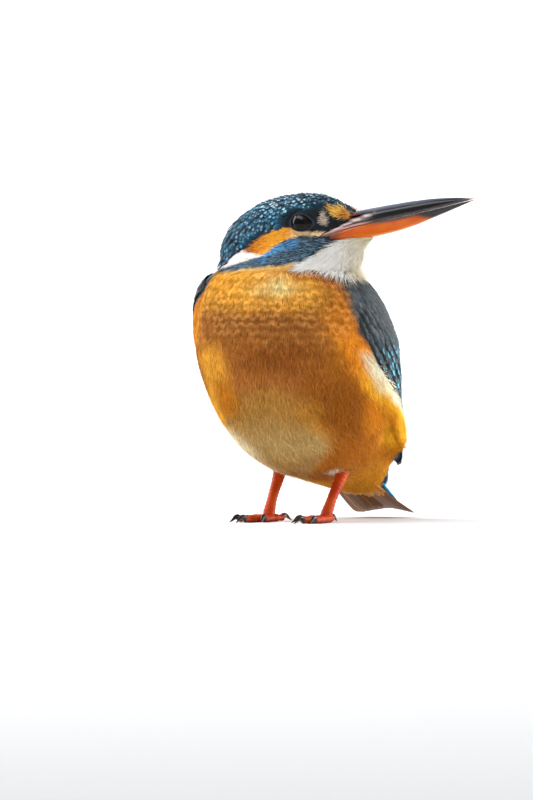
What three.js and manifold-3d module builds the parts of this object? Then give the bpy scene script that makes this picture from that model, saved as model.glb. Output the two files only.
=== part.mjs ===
// A common kingfisher standing on a floor, life size, in millimetres.
// +Z is up. The body faces -Y and the head is turned a quarter turn to the bird's left, so the bill
// points along +X. The shapes are laid out from the point on the floor between the two feet, and the
// finished bird is then moved so that the origin is on the floor at the middle of its outline.
import * as THREE from "three";
import { mergeVertices } from "three/addons/utils/BufferGeometryUtils.js";
import Module from "manifold-3d";

// ---------- driving dimensions ----------
const GAP = 0.35; // clearance between neighbouring pieces
const HEAD_MIDDLE_Y = -4; // the head's own plane of symmetry
const NECK_TOP_Z = 71.5; // where the head is parted from the neck
const NECK_BOTTOM_Z = 65.5; // where the neck is parted from the trunk

const BILL_LENGTH = 46.5; // from the corner of the gape to the tip
const BILL_PITCH = THREE.MathUtils.degToRad(10.8); // above the horizontal
const GAPE = new THREE.Vector3(13.6, HEAD_MIDDLE_Y, 82.9);

const EYE_RADIUS = 3.6;
const EYE_AHEAD = 8.8; // along +X from the body's middle plane
const EYE_OUT = 8.1; // from the head's middle plane to the middle of the eyeball
const EYE_HEIGHT = 84.9;

const SHOULDER_LEAN = -2.5; // the shoulders are carried this far to the bird's right

const FOOT_OUT = 9.4; // from the body's middle plane to each foot
const TOE_RADIUS = 1.25;
const TOE_AXIS_Z = 1.05; // less than the radius, so that each sole is a flat
const TARSUS_RADIUS = 1.55;

const TAIL_HALF_WIDTH = 10.3;
const TAIL_THICKNESS = 1.9;

const ROOM = 400; // a length greater than the whole bird's
const UP = new THREE.Vector3(0, 0, 1);
const BACK_UP = new THREE.Vector3(0, 0.8, 0.6);

// ---------- solids ----------
const wasm = await Module();
wasm.setup();

const vec = (x, y, z) => new THREE.Vector3(x, y, z);
const mirrored = (v) => vec(-v.x, v.y, v.z);

// The value at t, from 0 to 1, of a smooth curve through evenly spaced values.
function through(values, t) {
  const place = t * (values.length - 1);
  const i = Math.min(Math.floor(place), values.length - 2);
  const f = place - i;
  const [b, c] = [values[i], values[i + 1]];
  const a = values[Math.max(i - 1, 0)];
  const d = values[Math.min(i + 2, values.length - 1)];
  const slopeIn = (c - a) / 2;
  const slopeOut = (d - b) / 2;
  const f2 = f * f;
  const f3 = f2 * f;
  return (2 * f3 - 3 * f2 + 1) * b + (f3 - 2 * f2 + f) * slopeIn + (3 * f2 - 2 * f3) * c + (f3 - f2) * slopeOut;
}

// How round an end is: 0 at the very end, 1 once t is past the cap.
function rounding(t, cap) {
  const inward = Math.min(t / cap, 1);
  return Math.sqrt(1 - (1 - inward) ** 2);
}

// A closed body along a smooth curve. Each station holds the middle of a section, the direction `out`
// that its upper side faces, its half width, its depths over and under the middle, and how far its two
// edges droop (`arch`). `grow` makes the same body thicker all over.
function loft(stations, { rings = 20, sides = 18, cap = 0.12, endCap = cap, grow = 0 } = {}) {
  const middles = new THREE.CatmullRomCurve3(stations.map((s) => s.at));
  const outs = new THREE.CatmullRomCurve3(stations.map((s) => s.out));
  const size = (key, t) => through(stations.map((s) => s[key] ?? 0), t);
  const geometry = new THREE.SphereGeometry(1, sides, rings);
  const place = geometry.attributes.position;
  for (let i = 0; i < place.count; i++) {
    const unit = vec(place.getX(i), place.getY(i), place.getZ(i));
    const t = (1 - THREE.MathUtils.clamp(unit.y, -1, 1)) / 2; // rings crowd towards both ends
    const around = Math.atan2(unit.z, unit.x);
    const atPole = Math.hypot(unit.x, unit.z) < 1e-6;
    const round = atPole ? 0 : rounding(t, cap) * rounding(1 - t, endCap);
    const along = middles.getTangent(t);
    const out = outs.getPoint(t).projectOnPlane(along).normalize();
    const side = along.clone().cross(out);
    const swell = atPole ? 0 : grow;
    const across = Math.cos(around) * (size("half", t) * round + swell);
    const rise = Math.sin(around);
    const depth = rise * ((rise > 0 ? size("over", t) : size("under", t)) * round + swell);
    const droop = size("arch", t) * Math.cos(around) ** 2 * round;
    const reach = atPole ? (t < 0.5 ? -grow : grow) : 0;
    const point = middles.getPoint(t).addScaledVector(along, reach);
    point.addScaledVector(side, across).addScaledVector(out, depth - droop);
    place.setXYZ(i, point.x, point.y, point.z);
  }
  return solidOf(geometry);
}

// A manifold solid from a closed three.js geometry, with its faces turned outwards.
function solidOf(geometry) {
  const bare = geometry.clone();
  bare.deleteAttribute("normal");
  bare.deleteAttribute("uv");
  const merged = mergeVertices(bare, 1e-4);
  const build = (triVerts) =>
    new wasm.Manifold(new wasm.Mesh({ numProp: 3, vertProperties: merged.attributes.position.array, triVerts }));
  const triangles = new Uint32Array(merged.index.array);
  const made = build(triangles);
  return made.volume() > 0 ? made : build(triangles.reverse());
}

// The solid between two heights, wider than the bird.
function slab(low, high) {
  return solidOf(new THREE.BoxGeometry(ROOM, ROOM, high - low).translate(0, 0, (low + high) / 2));
}

const largest = (solid) => solid.decompose().sort((a, b) => b.volume() - a.volume())[0];
const cutBy = (solid, ...tools) => tools.reduce((left, tool) => left.subtract(tool), solid);
const joined = (solids) => solids.reduce((all, one) => all.add(one));

// ---------- trunk, neck and head ----------
function trunkSolid(grow = 0) {
  const section = (x, y, z, half, over, under) => ({ at: vec(x, y, z), out: BACK_UP, half, over, under });
  return loft(
    [
      section(-2.6, -4, 79, 12, 9, 9),
      section(-2.6, -4, 72.5, 21.2, 15.5, 16),
      section(-1.8, -4.5, 65, 26.4, 20.5, 22.5),
      section(-0.3, -3, 54.5, 28.8, 23.2, 28.2),
      section(0, 1, 43, 27, 24.2, 28.4),
      section(0, 8, 31.5, 23.5, 23, 23.6),
      section(0, 19, 21, 17, 18, 12.4),
      section(0, 31, 14.2, 12.4, 9.8, 7),
      section(0, 41, 9.4, 9, 4.2, 4.2),
    ],
    { rings: 26, sides: 24, cap: 0.08, endCap: 0.06, grow },
  );
}

function skullSolid(grow = 0) {
  const section = (x, z, half, over, under) => ({ at: vec(x, HEAD_MIDDLE_Y, z), out: UP, half, over, under });
  return loft(
    [
      section(-21.6, 71.8, 8, 4.6, 6),
      section(-14, 77, 9.8, 9.2, 9),
      section(-5.5, 80.8, 12, 11.1, 11.5),
      section(3, 82.3, 12.4, 11.6, 12.5),
      section(10, 82.4, 11, 11.2, 12.5),
      section(16.5, 82.6, 6.9, 9.2, 11),
      section(22.7, 83.2, 4.3, 5.4, 6.5),
      section(28, 83.2, 2.2, 1.6, 2.6),
    ],
    { rings: 22, sides: 20, cap: 0.14, endCap: 0.04, grow },
  );
}

// The puffed white throat, which fills the corner between the bill and the breast.
function throatSolid(grow = 0) {
  const section = (x, y, z, half, over, under) => ({ at: vec(x, y, z), out: UP, half, over, under });
  return loft(
    [
      section(-14, -5, 70, 12, 8, 6),
      section(2, -5, 72.5, 14.6, 10, 9),
      section(12.5, -5, 74.4, 12.6, 9, 9),
      section(20.6, -4.5, 77.2, 6.2, 5.6, 7),
      section(25.8, HEAD_MIDDLE_Y, 80.6, 2, 1.6, 2.6),
    ],
    { rings: 14, sides: 16, cap: 0.2, endCap: 0.1, grow },
  );
}

const wholeBody = (grow = 0) => joined([trunkSolid(grow), skullSolid(grow), throatSolid(grow)]);

// ---------- bill ----------
// Points along the line where the mandibles meet, from the gape (0) to the tip (1).
const gapeLine = (share) =>
  GAPE.clone().addScaledVector(vec(Math.cos(BILL_PITCH), 0, Math.sin(BILL_PITCH)), share * BILL_LENGTH);

function mandible(heights, widths, side, grow = 0) {
  const last = heights.length - 1;
  const lift = side * (GAP / 2);
  const stations = heights.map((height, i) => ({
    at: gapeLine(i / last).add(vec(0, 0, lift)),
    out: vec(0, 0, side),
    half: widths[i],
    over: height,
    under: 0,
  }));
  return loft(stations, { rings: 14, sides: 12, cap: 0.04, endCap: 0.03, grow });
}
const BILL_HALF_WIDTHS = [6.6, 5.9, 4.8, 3.8, 3, 2.1, 1.3, 0.45];
const UPPER_HEIGHTS = [4.6, 4.9, 4.5, 4.4, 3.9, 3.0, 1.8, 0.45];
const LOWER_HEIGHTS = [2.6, 3.7, 4.3, 3.7, 2.8, 2.1, 1.2, 0.35];
const upperBill = (grow = 0) => mandible(UPPER_HEIGHTS, BILL_HALF_WIDTHS, 1, grow);
const lowerBill = (grow = 0) => mandible(LOWER_HEIGHTS, BILL_HALF_WIDTHS.map((w) => w * 0.94), -1, grow);

// ---------- eyes ----------
function eyeSolid(side, grow = 0) {
  const ball = new THREE.SphereGeometry(EYE_RADIUS + grow, 16, 10);
  return solidOf(ball.translate(EYE_AHEAD, HEAD_MIDDLE_Y + side * EYE_OUT, EYE_HEIGHT));
}

// ---------- wings ----------
// One folded wing, a blade that lies on the side of the body from the shoulder back to the wing tip over the tail.
function wingSolid(side, grow = 0) {
  const place = side > 0 ? (v) => v : mirrored;
  const lean = (v) => v.add(vec(SHOULDER_LEAN * THREE.MathUtils.smoothstep(v.z, 50, 70), 0, 0));
  const section = (at, out, half, thick, arch) => ({
    at: lean(place(at)),
    out: place(out),
    half,
    over: thick,
    under: thick * 1.2,
    arch,
  });
  return loft(
    [
      section(vec(20.2, -10, 70.2), vec(0.7, -0.3, 0.6), 5, 2.4, 0.6),
      section(vec(26.7, -2.5, 60.5), vec(0.93, 0, 0.35), 11, 2.6, 3),
      section(vec(25.3, 8.3, 49.5), vec(0.9, 0.36, 0.28), 14, 2.6, 4.4),
      section(vec(19.4, 19, 38), vec(0.78, 0.52, 0.38), 12.4, 2.3, 3.4),
      section(vec(14.1, 30.8, 26.8), vec(0.66, 0.57, 0.5), 8, 1.8, 1.6),
      section(vec(8.6, 42.2, 15.6), vec(0.55, 0.4, 0.7), 3.4, 1.1, 0.3),
    ],
    { rings: 18, sides: 16, cap: 0.14, endCap: 0.08, grow },
  );
}

// ---------- tail ----------
function tailSolid(grow = 0) {
  const section = (y, z, half, arch) => ({
    at: vec(0, y, z),
    out: UP,
    half,
    over: TAIL_THICKNESS / 2,
    under: TAIL_THICKNESS / 2,
    arch,
  });
  return loft(
    [
      section(22, 17, TAIL_HALF_WIDTH * 0.6, 0.8),
      section(33, 11, TAIL_HALF_WIDTH * 0.82, 1),
      section(44, 5.8, TAIL_HALF_WIDTH * 0.95, 1.1),
      section(55, 2, TAIL_HALF_WIDTH, 1.2),
    ],
    { rings: 14, sides: 16, cap: 0.06, endCap: 0.09, grow },
  );
}

// ---------- legs ----------
// Toes of one foot: which way each points from straight ahead, and how long it and its claw are.
const TOES = [
  { name: "inner", turn: 16, length: 8.2, claw: 3.6, root: -1.1 },
  { name: "middle", turn: 0, length: 13.2, claw: 4.4, root: 0.1 },
  { name: "outer", turn: -9, length: 11.4, claw: 3.8, root: 1.3 },
  { name: "hind", turn: 172, length: 6.4, claw: 4, root: -0.5 },
];
const footMiddle = (side) => vec(side * FOOT_OUT, -1, TOE_AXIS_Z);

// The way a toe points, turned in towards the body's middle plane by its angle.
function toeWay(side, toe) {
  const angle = THREE.MathUtils.degToRad(toe.turn);
  return vec(-side * Math.sin(angle), -Math.cos(angle), 0);
}
const toeRoot = (side, toe) => footMiddle(side).add(vec(side * toe.root, 0, 0));
const toeEnd = (side, toe) => toeRoot(side, toe).addScaledVector(toeWay(side, toe), toe.length);

// A round limb through points, each with its own radius.
function limb(points, radii, { rings = 8, sides = 8, cap = 0.15, grow = 0 } = {}) {
  const out = vec(0.02, -1, 0.5); // never along a limb
  const stations = points.map((at, i) => ({ at, out, half: radii[i], over: radii[i], under: radii[i] }));
  return loft(stations, { rings, sides, cap, grow });
}

function toeSolid(side, toe, grow) {
  const way = toeWay(side, toe);
  const root = toeRoot(side, toe).addScaledVector(way, -0.6);
  const knuckle = root.clone().addScaledVector(way, toe.length * 0.5).add(vec(0, 0, 0.12));
  const end = toeEnd(side, toe);
  const taper = [1, 1, 0.8];
  const stations = [root, knuckle, end].map((at, i) => ({
    at,
    out: UP,
    half: TOE_RADIUS * taper[i],
    over: TOE_RADIUS * taper[i],
    under: TOE_RADIUS,
  }));
  return loft(stations, { rings: 8, sides: 8, cap: 0.14, grow });
}

function legShape(side, grow = 0) {
  const ankle = footMiddle(side).add(vec(0, 0.3, 0.4));
  const hock = vec(side * (FOOT_OUT + 0.8), 6.5, 12.5);
  const thigh = vec(side * (FOOT_OUT + 1.2), 9, 17);
  const middle = ankle.clone().lerp(hock, 0.5).add(vec(0, -0.4, 0));
  const radii = [TARSUS_RADIUS * 1.13, TARSUS_RADIUS, TARSUS_RADIUS * 1.15, TARSUS_RADIUS * 1.42];
  const tarsus = limb([ankle, middle, hock, thigh], radii, { rings: 10, grow });
  return joined([tarsus, ...TOES.map((toe) => toeSolid(side, toe, grow))]);
}
const standing = (solid) => solid.subtract(slab(-ROOM / 2, 0)); // cut off level with the floor

function clawSolid(side, toe) {
  const way = toeWay(side, toe);
  const start = toeEnd(side, toe).addScaledVector(way, GAP + 0.15);
  const rises = [0.25, 0.3, -0.75]; // arched, with the point close to the floor
  const points = rises.map((rise, i) => {
    const along = (toe.claw * i) / (rises.length - 1);
    return start.clone().addScaledVector(way, along).add(vec(0, 0, rise));
  });
  return standing(limb(points, [0.95, 0.7, 0.3], { rings: 6, sides: 6, cap: 0.1 }));
}

// ---------- the bird, parted into its sub-parts ----------
const finish = {
  crown: { color: 0x14404f, roughness: 0.6, metalness: 0 },
  orange: { color: 0xc8701e, roughness: 0.8, metalness: 0 },
  wing: { color: 0x16323f, roughness: 0.6, metalness: 0 },
  tail: { color: 0x26303c, roughness: 0.6, metalness: 0 },
  upperBill: { color: 0x1c1a1e, roughness: 0.35, metalness: 0 },
  lowerBill: { color: 0xcc5a1c, roughness: 0.4, metalness: 0 },
  eye: { color: 0x08080a, roughness: 0.05, metalness: 0 },
  leg: { color: 0xc63a1c, roughness: 0.5, metalness: 0 },
  claw: { color: 0x2a2022, roughness: 0.4, metalness: 0 },
};

function meshOf(name, solid, look) {
  const { vertProperties, triVerts, numProp, numVert } = solid.getMesh();
  const places = new Float32Array(numVert * 3);
  for (let i = 0; i < numVert; i++) {
    places.set(vertProperties.subarray(i * numProp, i * numProp + 3), i * 3);
  }
  const geometry = new THREE.BufferGeometry();
  geometry.setAttribute("position", new THREE.BufferAttribute(places, 3));
  geometry.setIndex(new THREE.BufferAttribute(triVerts, 1));
  geometry.computeVertexNormals();
  const mesh = new THREE.Mesh(geometry, new THREE.MeshStandardMaterial(look));
  mesh.name = name;
  return mesh;
}

const sides = [
  { word: "left", x: 1 },
  { word: "right", x: -1 },
];

const bird = new THREE.Group();
const body = cutBy(
  wholeBody(),
  upperBill(GAP),
  lowerBill(GAP),
  tailSolid(GAP),
  ...sides.flatMap(({ x }) => [eyeSolid(x, GAP), wingSolid(x, GAP), legShape(x, GAP)]),
);
const between = (low, high) => largest(body.intersect(slab(low + GAP / 2, high - GAP / 2)));
bird.add(meshOf("head", between(NECK_TOP_Z, ROOM), finish.crown));
bird.add(meshOf("neck", between(NECK_BOTTOM_Z, NECK_TOP_Z), finish.orange));
bird.add(meshOf("trunk", between(0, NECK_BOTTOM_Z), finish.orange));
bird.add(meshOf("bill_upper", upperBill(), finish.upperBill));
bird.add(meshOf("bill_lower", lowerBill(), finish.lowerBill));
bird.add(meshOf("tail", standing(tailSolid()), finish.tail));
for (const { word, x } of sides) {
  bird.add(meshOf("eye_" + word, eyeSolid(x), finish.eye));
  bird.add(meshOf("wing_" + word, wingSolid(x), finish.wing));
  bird.add(meshOf("leg_" + word, standing(legShape(x)), finish.leg));
  for (const toe of TOES) {
    bird.add(meshOf("claw_" + word + "_" + toe.name, clawSolid(x, toe), finish.claw));
  }
}

const outline = new THREE.Box3().setFromObject(bird);
const middle = outline.getCenter(vec(0, 0, 0));
bird.position.set(-middle.x, -middle.y, 0);

export default bird;
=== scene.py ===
import math

import bmesh
import bpy
import numpy as np
from mathutils import Matrix, Vector
from mathutils.bvhtree import BVHTree


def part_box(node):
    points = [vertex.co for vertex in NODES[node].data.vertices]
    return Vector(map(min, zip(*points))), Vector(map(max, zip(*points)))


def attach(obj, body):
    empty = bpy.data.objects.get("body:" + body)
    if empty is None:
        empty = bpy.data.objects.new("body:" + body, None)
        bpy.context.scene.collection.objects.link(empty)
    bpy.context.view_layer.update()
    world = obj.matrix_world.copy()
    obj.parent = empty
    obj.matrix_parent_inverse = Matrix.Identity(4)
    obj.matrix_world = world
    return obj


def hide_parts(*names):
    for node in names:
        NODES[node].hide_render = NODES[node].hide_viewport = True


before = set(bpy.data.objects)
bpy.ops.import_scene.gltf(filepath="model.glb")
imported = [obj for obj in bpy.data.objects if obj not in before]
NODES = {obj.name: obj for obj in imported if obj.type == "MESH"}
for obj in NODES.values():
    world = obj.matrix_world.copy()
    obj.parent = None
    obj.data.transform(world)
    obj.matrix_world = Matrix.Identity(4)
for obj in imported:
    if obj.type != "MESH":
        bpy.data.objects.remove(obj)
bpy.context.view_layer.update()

# ---------- measures, in millimetres from the point on the floor between the feet ----------
MM = 0.001
HEAD_MIDDLE = -4.0  # y of the head's plane of symmetry
EYE_PLACE = np.array([8.8, HEAD_MIDDLE, 84.9])  # midway between the two eyeballs
EYE_OUT = 8.1
EYE_RADIUS = 3.6
BILL_PITCH = math.radians(10.8)
BILL_LENGTH = 46.5
GAPE = np.array([13.6, HEAD_MIDDLE, 82.9])
BILL_WAY = np.array([math.cos(BILL_PITCH), 0, math.sin(BILL_PITCH)])
BILL_ROOT = 0.14  # how far the bill runs back into the head, as a share of its length
# How far the line where the mandibles meet sags below the straight one, over the share along the bill.
MOUTH_SAG = ([-BILL_ROOT, 0, 0.05, 0.12, 0.2, 0.4, 0.6, 0.8, 1],
             [-2.9, -2.3, -1.75, -1.1, -0.75, -0.6, -0.7, -0.45, 0])
FOOT_OUT = 9.4  # x of each foot's middle
TOE_AXIS = 1.05  # height of a toe's middle line over the floor
TOE_RADIUS = 1.25
BREAST_LINE = 4.0  # y of the upright line that the breast's markings run round
SIDES = (("left", 1.0), ("right", -1.0))
PIECE_LIMIT = 190000  # triangles in one piece of the coat
TUFT_PATCH = 0.003  # size of a tuft's own patch on the unwrap


def box_middle(node):
    low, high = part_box(node)
    return (np.array(low) + np.array(high)) / 2


ORIGIN = (box_middle("eye_left") + box_middle("eye_right")) / 2 - EYE_PLACE * MM
rng = np.random.default_rng(7)


def in_bird(points):
    """Scene metres to bird millimetres."""
    return (np.asarray(points) - ORIGIN) / MM


def in_row(points):
    """Bird millimetres to scene metres."""
    return np.asarray(points) * MM + ORIGIN


# ---------- small helpers ----------
def unit(v):
    return v / np.maximum(np.linalg.norm(v, axis=-1, keepdims=True), 1e-9)


def step(low, high, x):
    """A soft step from 0 at low to 1 at high. It falls instead when low is the larger."""
    t = np.clip((np.asarray(x, float) - low) / (high - low), 0, 1)
    return t * t * (3 - 2 * t)


def mix(a, b, t):
    """From a to b by t, which has one number for each row."""
    t = np.asarray(t)[..., None]
    return np.asarray(a) * (1 - t) + np.asarray(b) * t


def band(x, rise, fall):
    """1 between two soft edges: up over the pair rise, and down again over the pair fall."""
    return step(*rise, x) * (1 - step(*fall, x))


def bell(x, middle, width):
    """1 in the middle, dying away on both sides."""
    return np.exp(-(((x - middle) / width) ** 2))


def layered(colour, *layers):
    """A colour with others laid over it in turn, each given as (colour, how much)."""
    for over, amount in layers:
        colour = mix(colour, over, amount)
    return colour


def rgb(r, g, b):
    """A linear colour from the usual 0 to 255 numbers."""
    c = np.array([r, g, b]) / 255
    return np.where(c <= 0.04045, c / 12.92, ((c + 0.055) / 1.055) ** 2.4)


def across(normal, way):
    """Square to a direction in the surface."""
    return unit(np.cross(normal, way))


def along_skin(normal, way):
    """The part of a direction that lies in the surface."""
    return unit(way - normal * np.sum(way * normal, axis=-1, keepdims=True))


def new_object(name, mesh, material, slot, *stands_for):
    obj = bpy.data.objects.new(name, mesh)
    bpy.context.scene.collection.objects.link(obj)
    mesh.materials.clear()
    mesh.materials.append(material)
    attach(obj, "root")
    if stands_for:
        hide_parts(*stands_for)
    return obj


def place_verts(verts, places):
    for vert, place in zip(verts, places):
        vert.co = place


def smooth_mesh(name, bm):
    """A smooth shaded mesh from a bmesh, with its faces turned outward."""
    bmesh.ops.recalc_face_normals(bm, faces=bm.faces)
    for face in bm.faces:
        face.smooth = True
    mesh = bpy.data.meshes.new(name)
    bm.to_mesh(mesh)
    bm.free()
    return mesh


def mesh_of(name, bm):
    """A mesh from a bmesh laid out in bird millimetres."""
    mesh = smooth_mesh(name, bm)
    co = np.empty(len(mesh.vertices) * 3)
    mesh.vertices.foreach_get("co", co)
    mesh.vertices.foreach_set("co", in_row(co.reshape(-1, 3)).ravel())
    mesh.update()
    return mesh


def points_of(mesh):
    co = np.empty(len(mesh.vertices) * 3)
    mesh.vertices.foreach_get("co", co)
    return in_bird(co.reshape(-1, 3))


def paint(mesh, colours, name="Plume"):
    """One colour for each vertex, with its strength as the fourth number."""
    if colours.shape[1] == 3:
        colours = np.concatenate([colours, np.ones((len(colours), 1))], 1)
    layer = mesh.color_attributes.new(name, "FLOAT_COLOR", "POINT")
    layer.data.foreach_set("color", np.clip(colours, 0, 1).astype(np.float32).ravel())


def array_mesh(name, points, faces, colours, uvs, normals=None):
    """A mesh of many small closed shapes from arrays, in bird millimetres.
    faces is (count, 3); colours and uvs are dictionaries of layers, one row per vertex."""
    mesh = bpy.data.meshes.new(name)
    mesh.vertices.add(len(points))
    mesh.vertices.foreach_set("co", in_row(points).astype(np.float32).ravel())
    mesh.loops.add(faces.size)
    mesh.loops.foreach_set("vertex_index", faces.astype(np.int32).ravel())
    mesh.polygons.add(len(faces))
    mesh.polygons.foreach_set("loop_start", np.arange(0, faces.size, 3, dtype=np.int32))
    mesh.update(calc_edges=True)
    mesh.polygons.foreach_set("use_smooth", np.ones(len(faces), bool))
    for layer, values in colours.items():
        paint(mesh, values, layer)
    for layer, values in uvs.items():
        uv = mesh.uv_layers.new(name=layer)
        uv.data.foreach_set("uv", values[faces.ravel()].astype(np.float32).ravel())
    mesh.update()
    if normals is not None:
        mesh.normals_split_custom_set_from_vertices(normals.astype(np.float32))
    return mesh


def tree_of(points, faces):
    return BVHTree.FromPolygons([tuple(p) for p in points], [tuple(f) for f in faces])


def triangles_of(mesh):
    mesh.calc_loop_triangles()
    tris = np.empty(len(mesh.loop_triangles) * 3, np.int32)
    mesh.loop_triangles.foreach_get("vertices", tris)
    return tris.reshape(-1, 3)


def solid_tree(name):
    """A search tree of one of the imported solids."""
    return tree_of(points_of(NODES[name].data), triangles_of(NODES[name].data))


# ---------- shader pieces ----------
def feed(tree, made, values):
    """Gives a node its inputs: a socket is linked, and anything else is set."""
    for key, value in values.items():
        if isinstance(value, bpy.types.NodeSocket):
            tree.links.new(value, made.inputs[key])
        else:
            made.inputs[key].default_value = value


def node(tree, kind, values=None, **settings):
    made = tree.nodes.new(kind)
    for key, value in settings.items():
        setattr(made, key, value)
    feed(tree, made, values or {})
    return made


def group(name, inputs, outputs, fill):
    """A shader node group: fill(tree, sockets) builds it and returns its outputs by name."""
    tree = bpy.data.node_groups.new(name, "ShaderNodeTree")
    for label, kind, value in inputs:
        socket = tree.interface.new_socket(label, in_out="INPUT", socket_type=kind)
        socket.default_value = value
    for label, kind in outputs:
        tree.interface.new_socket(label, in_out="OUTPUT", socket_type=kind)
    given = tree.nodes.new("NodeGroupInput")
    result = tree.nodes.new("NodeGroupOutput")
    for label, socket in fill(tree, given.outputs).items():
        tree.links.new(socket, result.inputs[label])
    return tree


def use_group(tree, made, **values):
    placed = tree.nodes.new("ShaderNodeGroup")
    placed.node_tree = made
    feed(tree, placed, {key.replace("_", " "): value for key, value in values.items()})
    return placed


def maths(tree, operation, a, b=0.0, c=0.0):
    return node(tree, "ShaderNodeMath", {0: a, 1: b, 2: c}, operation=operation).outputs[0]


def place_maths(tree, operation, a, b):
    return node(tree, "ShaderNodeVectorMath", {0: a, 1: b}, operation=operation).outputs[0]


def scaled(tree, colour, by):
    return node(tree, "ShaderNodeVectorMath", {0: colour, 3: by}, operation="SCALE").outputs[0]


def own_place(tree):
    return node(tree, "ShaderNodeTexCoord").outputs["Object"]


def noise(tree, place, scale, detail, output="Fac"):
    values = {"Vector": place, "Scale": scale, "Detail": detail}
    return node(tree, "ShaderNodeTexNoise", values).outputs[output]


def fade(tree, value, low, high, to_low=0.0, to_high=1.0):
    values = {"Value": value, "From Min": low, "From Max": high, "To Min": to_low, "To Max": to_high}
    return node(tree, "ShaderNodeMapRange", values, interpolation_type="SMOOTHSTEP").outputs["Result"]


def blend(tree, factor, a, b):
    return node(tree, "ShaderNodeMix", {0: factor, 6: a, 7: b}, data_type="RGBA").outputs[2]


COLOUR = "NodeSocketColor"
NUMBER = "NodeSocketFloat"
GREY = (0.5, 0.5, 0.5, 1.0)


def fill_mottle(tree, given):
    """Lighter and darker specks over a colour."""
    grain = noise(tree, own_place(tree), given["Scale"], 4.0)
    lift = maths(tree, "MULTIPLY_ADD", grain, given["Amount"], 1.0)
    lift = maths(tree, "SUBTRACT", lift, maths(tree, "MULTIPLY", given["Amount"], 0.5))
    return {"Colour": scaled(tree, given["Colour"], lift), "Grain": grain}


MOTTLE = group(
    "mottle",
    [("Colour", COLOUR, GREY), ("Scale", NUMBER, 900.0), ("Amount", NUMBER, 0.3)],
    [("Colour", COLOUR), ("Grain", NUMBER)],
    fill_mottle,
)


def fill_vane(tree, given):
    """A feather's web: fine barbs out from a shaft, and a mark near the tip."""
    side = maths(tree, "ABSOLUTE", maths(tree, "SUBTRACT", given["Across"], 0.5))
    slant = maths(tree, "MULTIPLY_ADD", side, -0.9, given["Along"])
    barbs = maths(tree, "SINE", maths(tree, "MULTIPLY", slant, given["Barbs"]))
    # the mark: an oval with a ragged edge round a point near the tip
    ragged = maths(tree, "MULTIPLY_ADD", noise(tree, own_place(tree), 1800.0, 2.0), 0.16, -0.08)
    far = maths(tree, "MULTIPLY", maths(tree, "SUBTRACT", given["Along"], 0.76), given["Stretch"])
    wide = maths(tree, "MULTIPLY", side, 1.25)
    squares = maths(tree, "ADD", maths(tree, "MULTIPLY", far, far), maths(tree, "MULTIPLY", wide, wide))
    reach = maths(tree, "ADD", maths(tree, "SQRT", squares), ragged)
    size = maths(tree, "MULTIPLY", given["Mark Size"], 0.6)
    spot = fade(tree, maths(tree, "SUBTRACT", size, reach), 0.0, 0.09)
    # the web: lighter along its edges, lined by its barbs, with the mark and then the shaft over it
    shaft = fade(tree, side, 0.015, 0.05, 1.0, 0.0)
    edge = maths(tree, "MULTIPLY", fade(tree, side, 0.26, 0.47), given["Rim"])
    web = blend(tree, edge, given["Base"], scaled(tree, given["Base"], 2.1))
    web = blend(tree, maths(tree, "MULTIPLY", barbs, given["Barb Depth"]), web, (0, 0, 0, 1))
    web = blend(tree, spot, web, given["Mark"])
    web = blend(tree, maths(tree, "MULTIPLY", shaft, 0.35), web, (0.012, 0.014, 0.018, 1))
    height = maths(tree, "ADD", maths(tree, "MULTIPLY", barbs, 0.5), shaft)
    return {"Colour": web, "Height": height}


VANE = group(
    "vane",
    [("Base", COLOUR, GREY), ("Mark", COLOUR, GREY), ("Mark Size", NUMBER, 0.0), ("Along", NUMBER, 0.0),
     ("Across", NUMBER, 0.5), ("Barbs", NUMBER, 90.0), ("Stretch", NUMBER, 1.6), ("Barb Depth", NUMBER, 0.16),
     ("Rim", NUMBER, 0.0)],
    [("Colour", COLOUR), ("Height", NUMBER)],
    fill_vane,
)


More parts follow.
